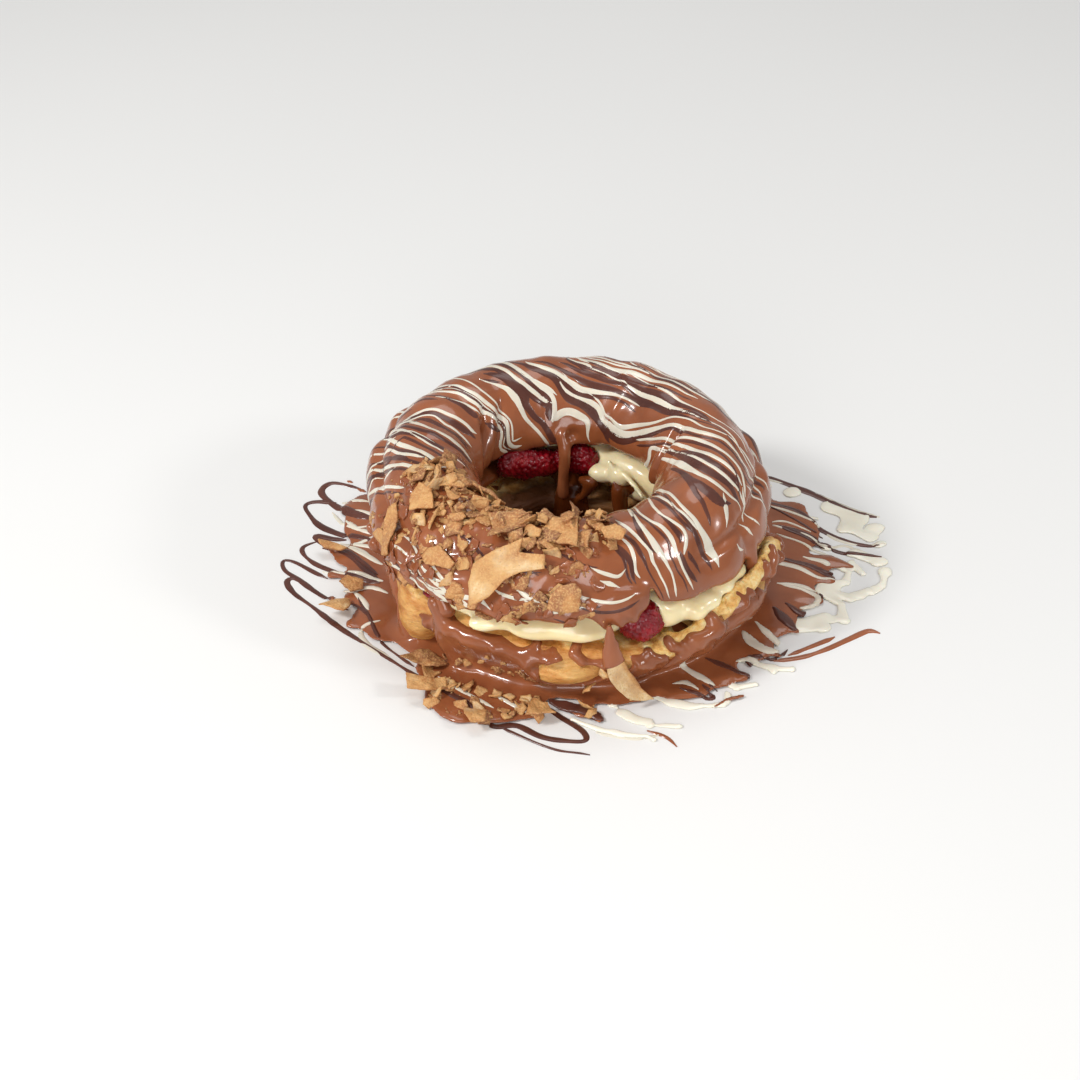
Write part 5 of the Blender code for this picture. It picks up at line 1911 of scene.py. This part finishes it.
def curl_sheet(first, grow, swell, seed):
    """The curl from one share of its length to its head, as a closed sheet, and the share across of each
    point; grow widens it all round and swell makes its front rounder."""
    rows = smooth_line(np.array(CURL_LINE) * MM, CURL_SPACING)
    rows = rows[int(first * len(rows)):]
    line, half = rows[:, :3], np.maximum(rows[:, 3], 0.12 * MM) + grow
    toward = np.array((0.30, -0.90, 0.30))
    share = np.linspace(first, 1.0, len(line))
    ahead = np.gradient(line, axis=0)
    ahead /= np.linalg.norm(ahead, axis=1)[:, None]
    turn = np.radians(-24.0 + 44.0 * share)[:, None]
    side = np.cross(ahead, toward)
    side /= np.linalg.norm(side, axis=1)[:, None]
    facing = np.cross(side, ahead)
    side, facing = side * np.cos(turn) + facing * np.sin(turn), facing * np.cos(turn) - side * np.sin(turn)
    rings, places = [], []
    across = np.linspace(-1.0, 1.0, CURL_ACROSS)
    for level in (1, -1):
        for place in across[::level]:
            ragged = 0.30 * MM * noise(line + place * 0.01, 2 * MM, seed)
            offset = half * place + ragged * abs(place) ** 4
            cup = 0.26 * (1.0 - place * place) * half
            thick = 0.5 * CURL_THICKNESS * (1.0 - 0.4 * abs(place) ** 6) + 0.8 * grow
            thick = thick + (swell * half * (1.0 - place * place) if level > 0 else 0.0)
            rings.append(line + side * offset[:, None] + facing * (level * thick - cup)[:, None])
            places.append(np.full(len(line), place))
    rings, places = np.stack(rings, 1), np.stack(places, 1)
    return rings.reshape(-1, 3), tube_faces(len(line), 2 * CURL_ACROSS, 0), places.ravel()


def make_curl(looks):
    """The long curved shard at the front, toasted along one edge, with its upper part dipped in the coat."""
    points, faces, across = curl_sheet(0.0, 0.0, 0.0, 90)
    curl = mesh_from("long_curl", points, faces)
    mark(curl, "tone", 1.0 - 0.25 * np.abs(noise(points, 9 * MM, 91)) - 0.45 * step_up(across, 0.55, 1.0))
    finish(curl, looks["wafer"], "wafer", "wafer_curl")
    points, faces, _ = curl_sheet(CURL_DIPPED, 0.40 * MM, 0.55, 92)
    finish(mesh_from("curl_coat", points, faces), looks["milk"], "milk_chocolate")


# ================================================================ light, floor and camera
CAMERA_HEIGHT = 34.5                  # degrees above the horizon
CAMERA_DISTANCE = 0.9
CAMERA_LENS = 89.3
CAMERA_TARGET = Vector((-9.4 * MM, 8.7 * MM, 12.7 * MM))


def make_camera():
    data = bpy.data.cameras.new("camera")
    data.lens = CAMERA_LENS
    data.sensor_width = 36.0
    data.clip_start = 0.01
    camera = bpy.data.objects.new("camera", data)
    bpy.context.scene.collection.objects.link(camera)
    up = math.radians(CAMERA_HEIGHT)
    camera.location = CAMERA_TARGET + CAMERA_DISTANCE * Vector((0.0, -math.cos(up), math.sin(up)))
    camera.rotation_euler = (math.pi / 2 - up, 0.0, 0.0)
    bpy.context.scene.camera = camera


def area_light(name, place, size, power):
    data = bpy.data.lights.new(name, "AREA")
    data.shape = "ELLIPSE"
    data.size, data.size_y = size
    data.energy = power
    light = bpy.data.objects.new(name, data)
    bpy.context.scene.collection.objects.link(light)
    light.location = place
    light.rotation_euler = (Vector(place)).to_track_quat("Z", "Y").to_euler()


def make_studio(looks):
    bpy.ops.mesh.primitive_plane_add(size=6.0)
    floor = bpy.context.active_object
    floor.name = "floor"
    floor.data.materials.append(looks["floor"])
    area_light("key", (-0.75, -0.35, 0.80), (0.24, 0.24), 7.8)
    area_light("top", (0.05, 0.45, 1.10), (0.90, 0.60), 4.0)
    area_light("side", (0.80, -0.35, 0.55), (0.16, 0.16), 2.4)
    area_light("front", (-0.15, -0.95, 0.32), (0.50, 0.50), 3.6)
    world = bpy.data.worlds.new("studio")
    bpy.context.scene.world = world
    world.use_nodes = True
    world.node_tree.nodes["Background"].inputs["Color"].default_value = (1.0, 1.0, 1.0, 1.0)
    world.node_tree.nodes["Background"].inputs["Strength"].default_value = 0.40
    bpy.context.scene.view_settings.view_transform = "Standard"


def main():
    looks = {
        "milk": chocolate("milk_chocolate", (0.236, 0.068, 0.024), (0.318, 0.099, 0.037), 0.22, 0.40),
        "white": chocolate("white_chocolate", (0.62, 0.56, 0.45), (0.74, 0.68, 0.57), 0.26, 0.30),
        # The pools' white is cream-coloured and lighter than the lines' white; the extra lightness is painted
        # light against the shade on the floor there.
        "cream": chocolate("white_chocolate_pool", (0.80, 0.75, 0.62), (0.89, 0.85, 0.73), 0.22, 0.40),
        "dark": chocolate("dark_chocolate", (0.070, 0.020, 0.013), (0.112, 0.036, 0.023), 0.28, 0.22),
        "choux": choux_material(),
        "custard": custard_material(),
        "berry": berry_material(),
        "wafer": wafer_material(),
        "floor": floor_material(),
    }
    make_camera()
    make_studio(looks)
    glaze = make_lid(looks)
    base = make_base(looks)
    custard = make_custard(looks)
    sauce = make_sauce(looks, base, custard, glaze)
    make_berries(looks)
    make_drizzle(looks, glaze, sauce)
    make_named_wafers(looks)
    make_flakes(looks, glaze, sauce)
    make_curl(looks)


main()
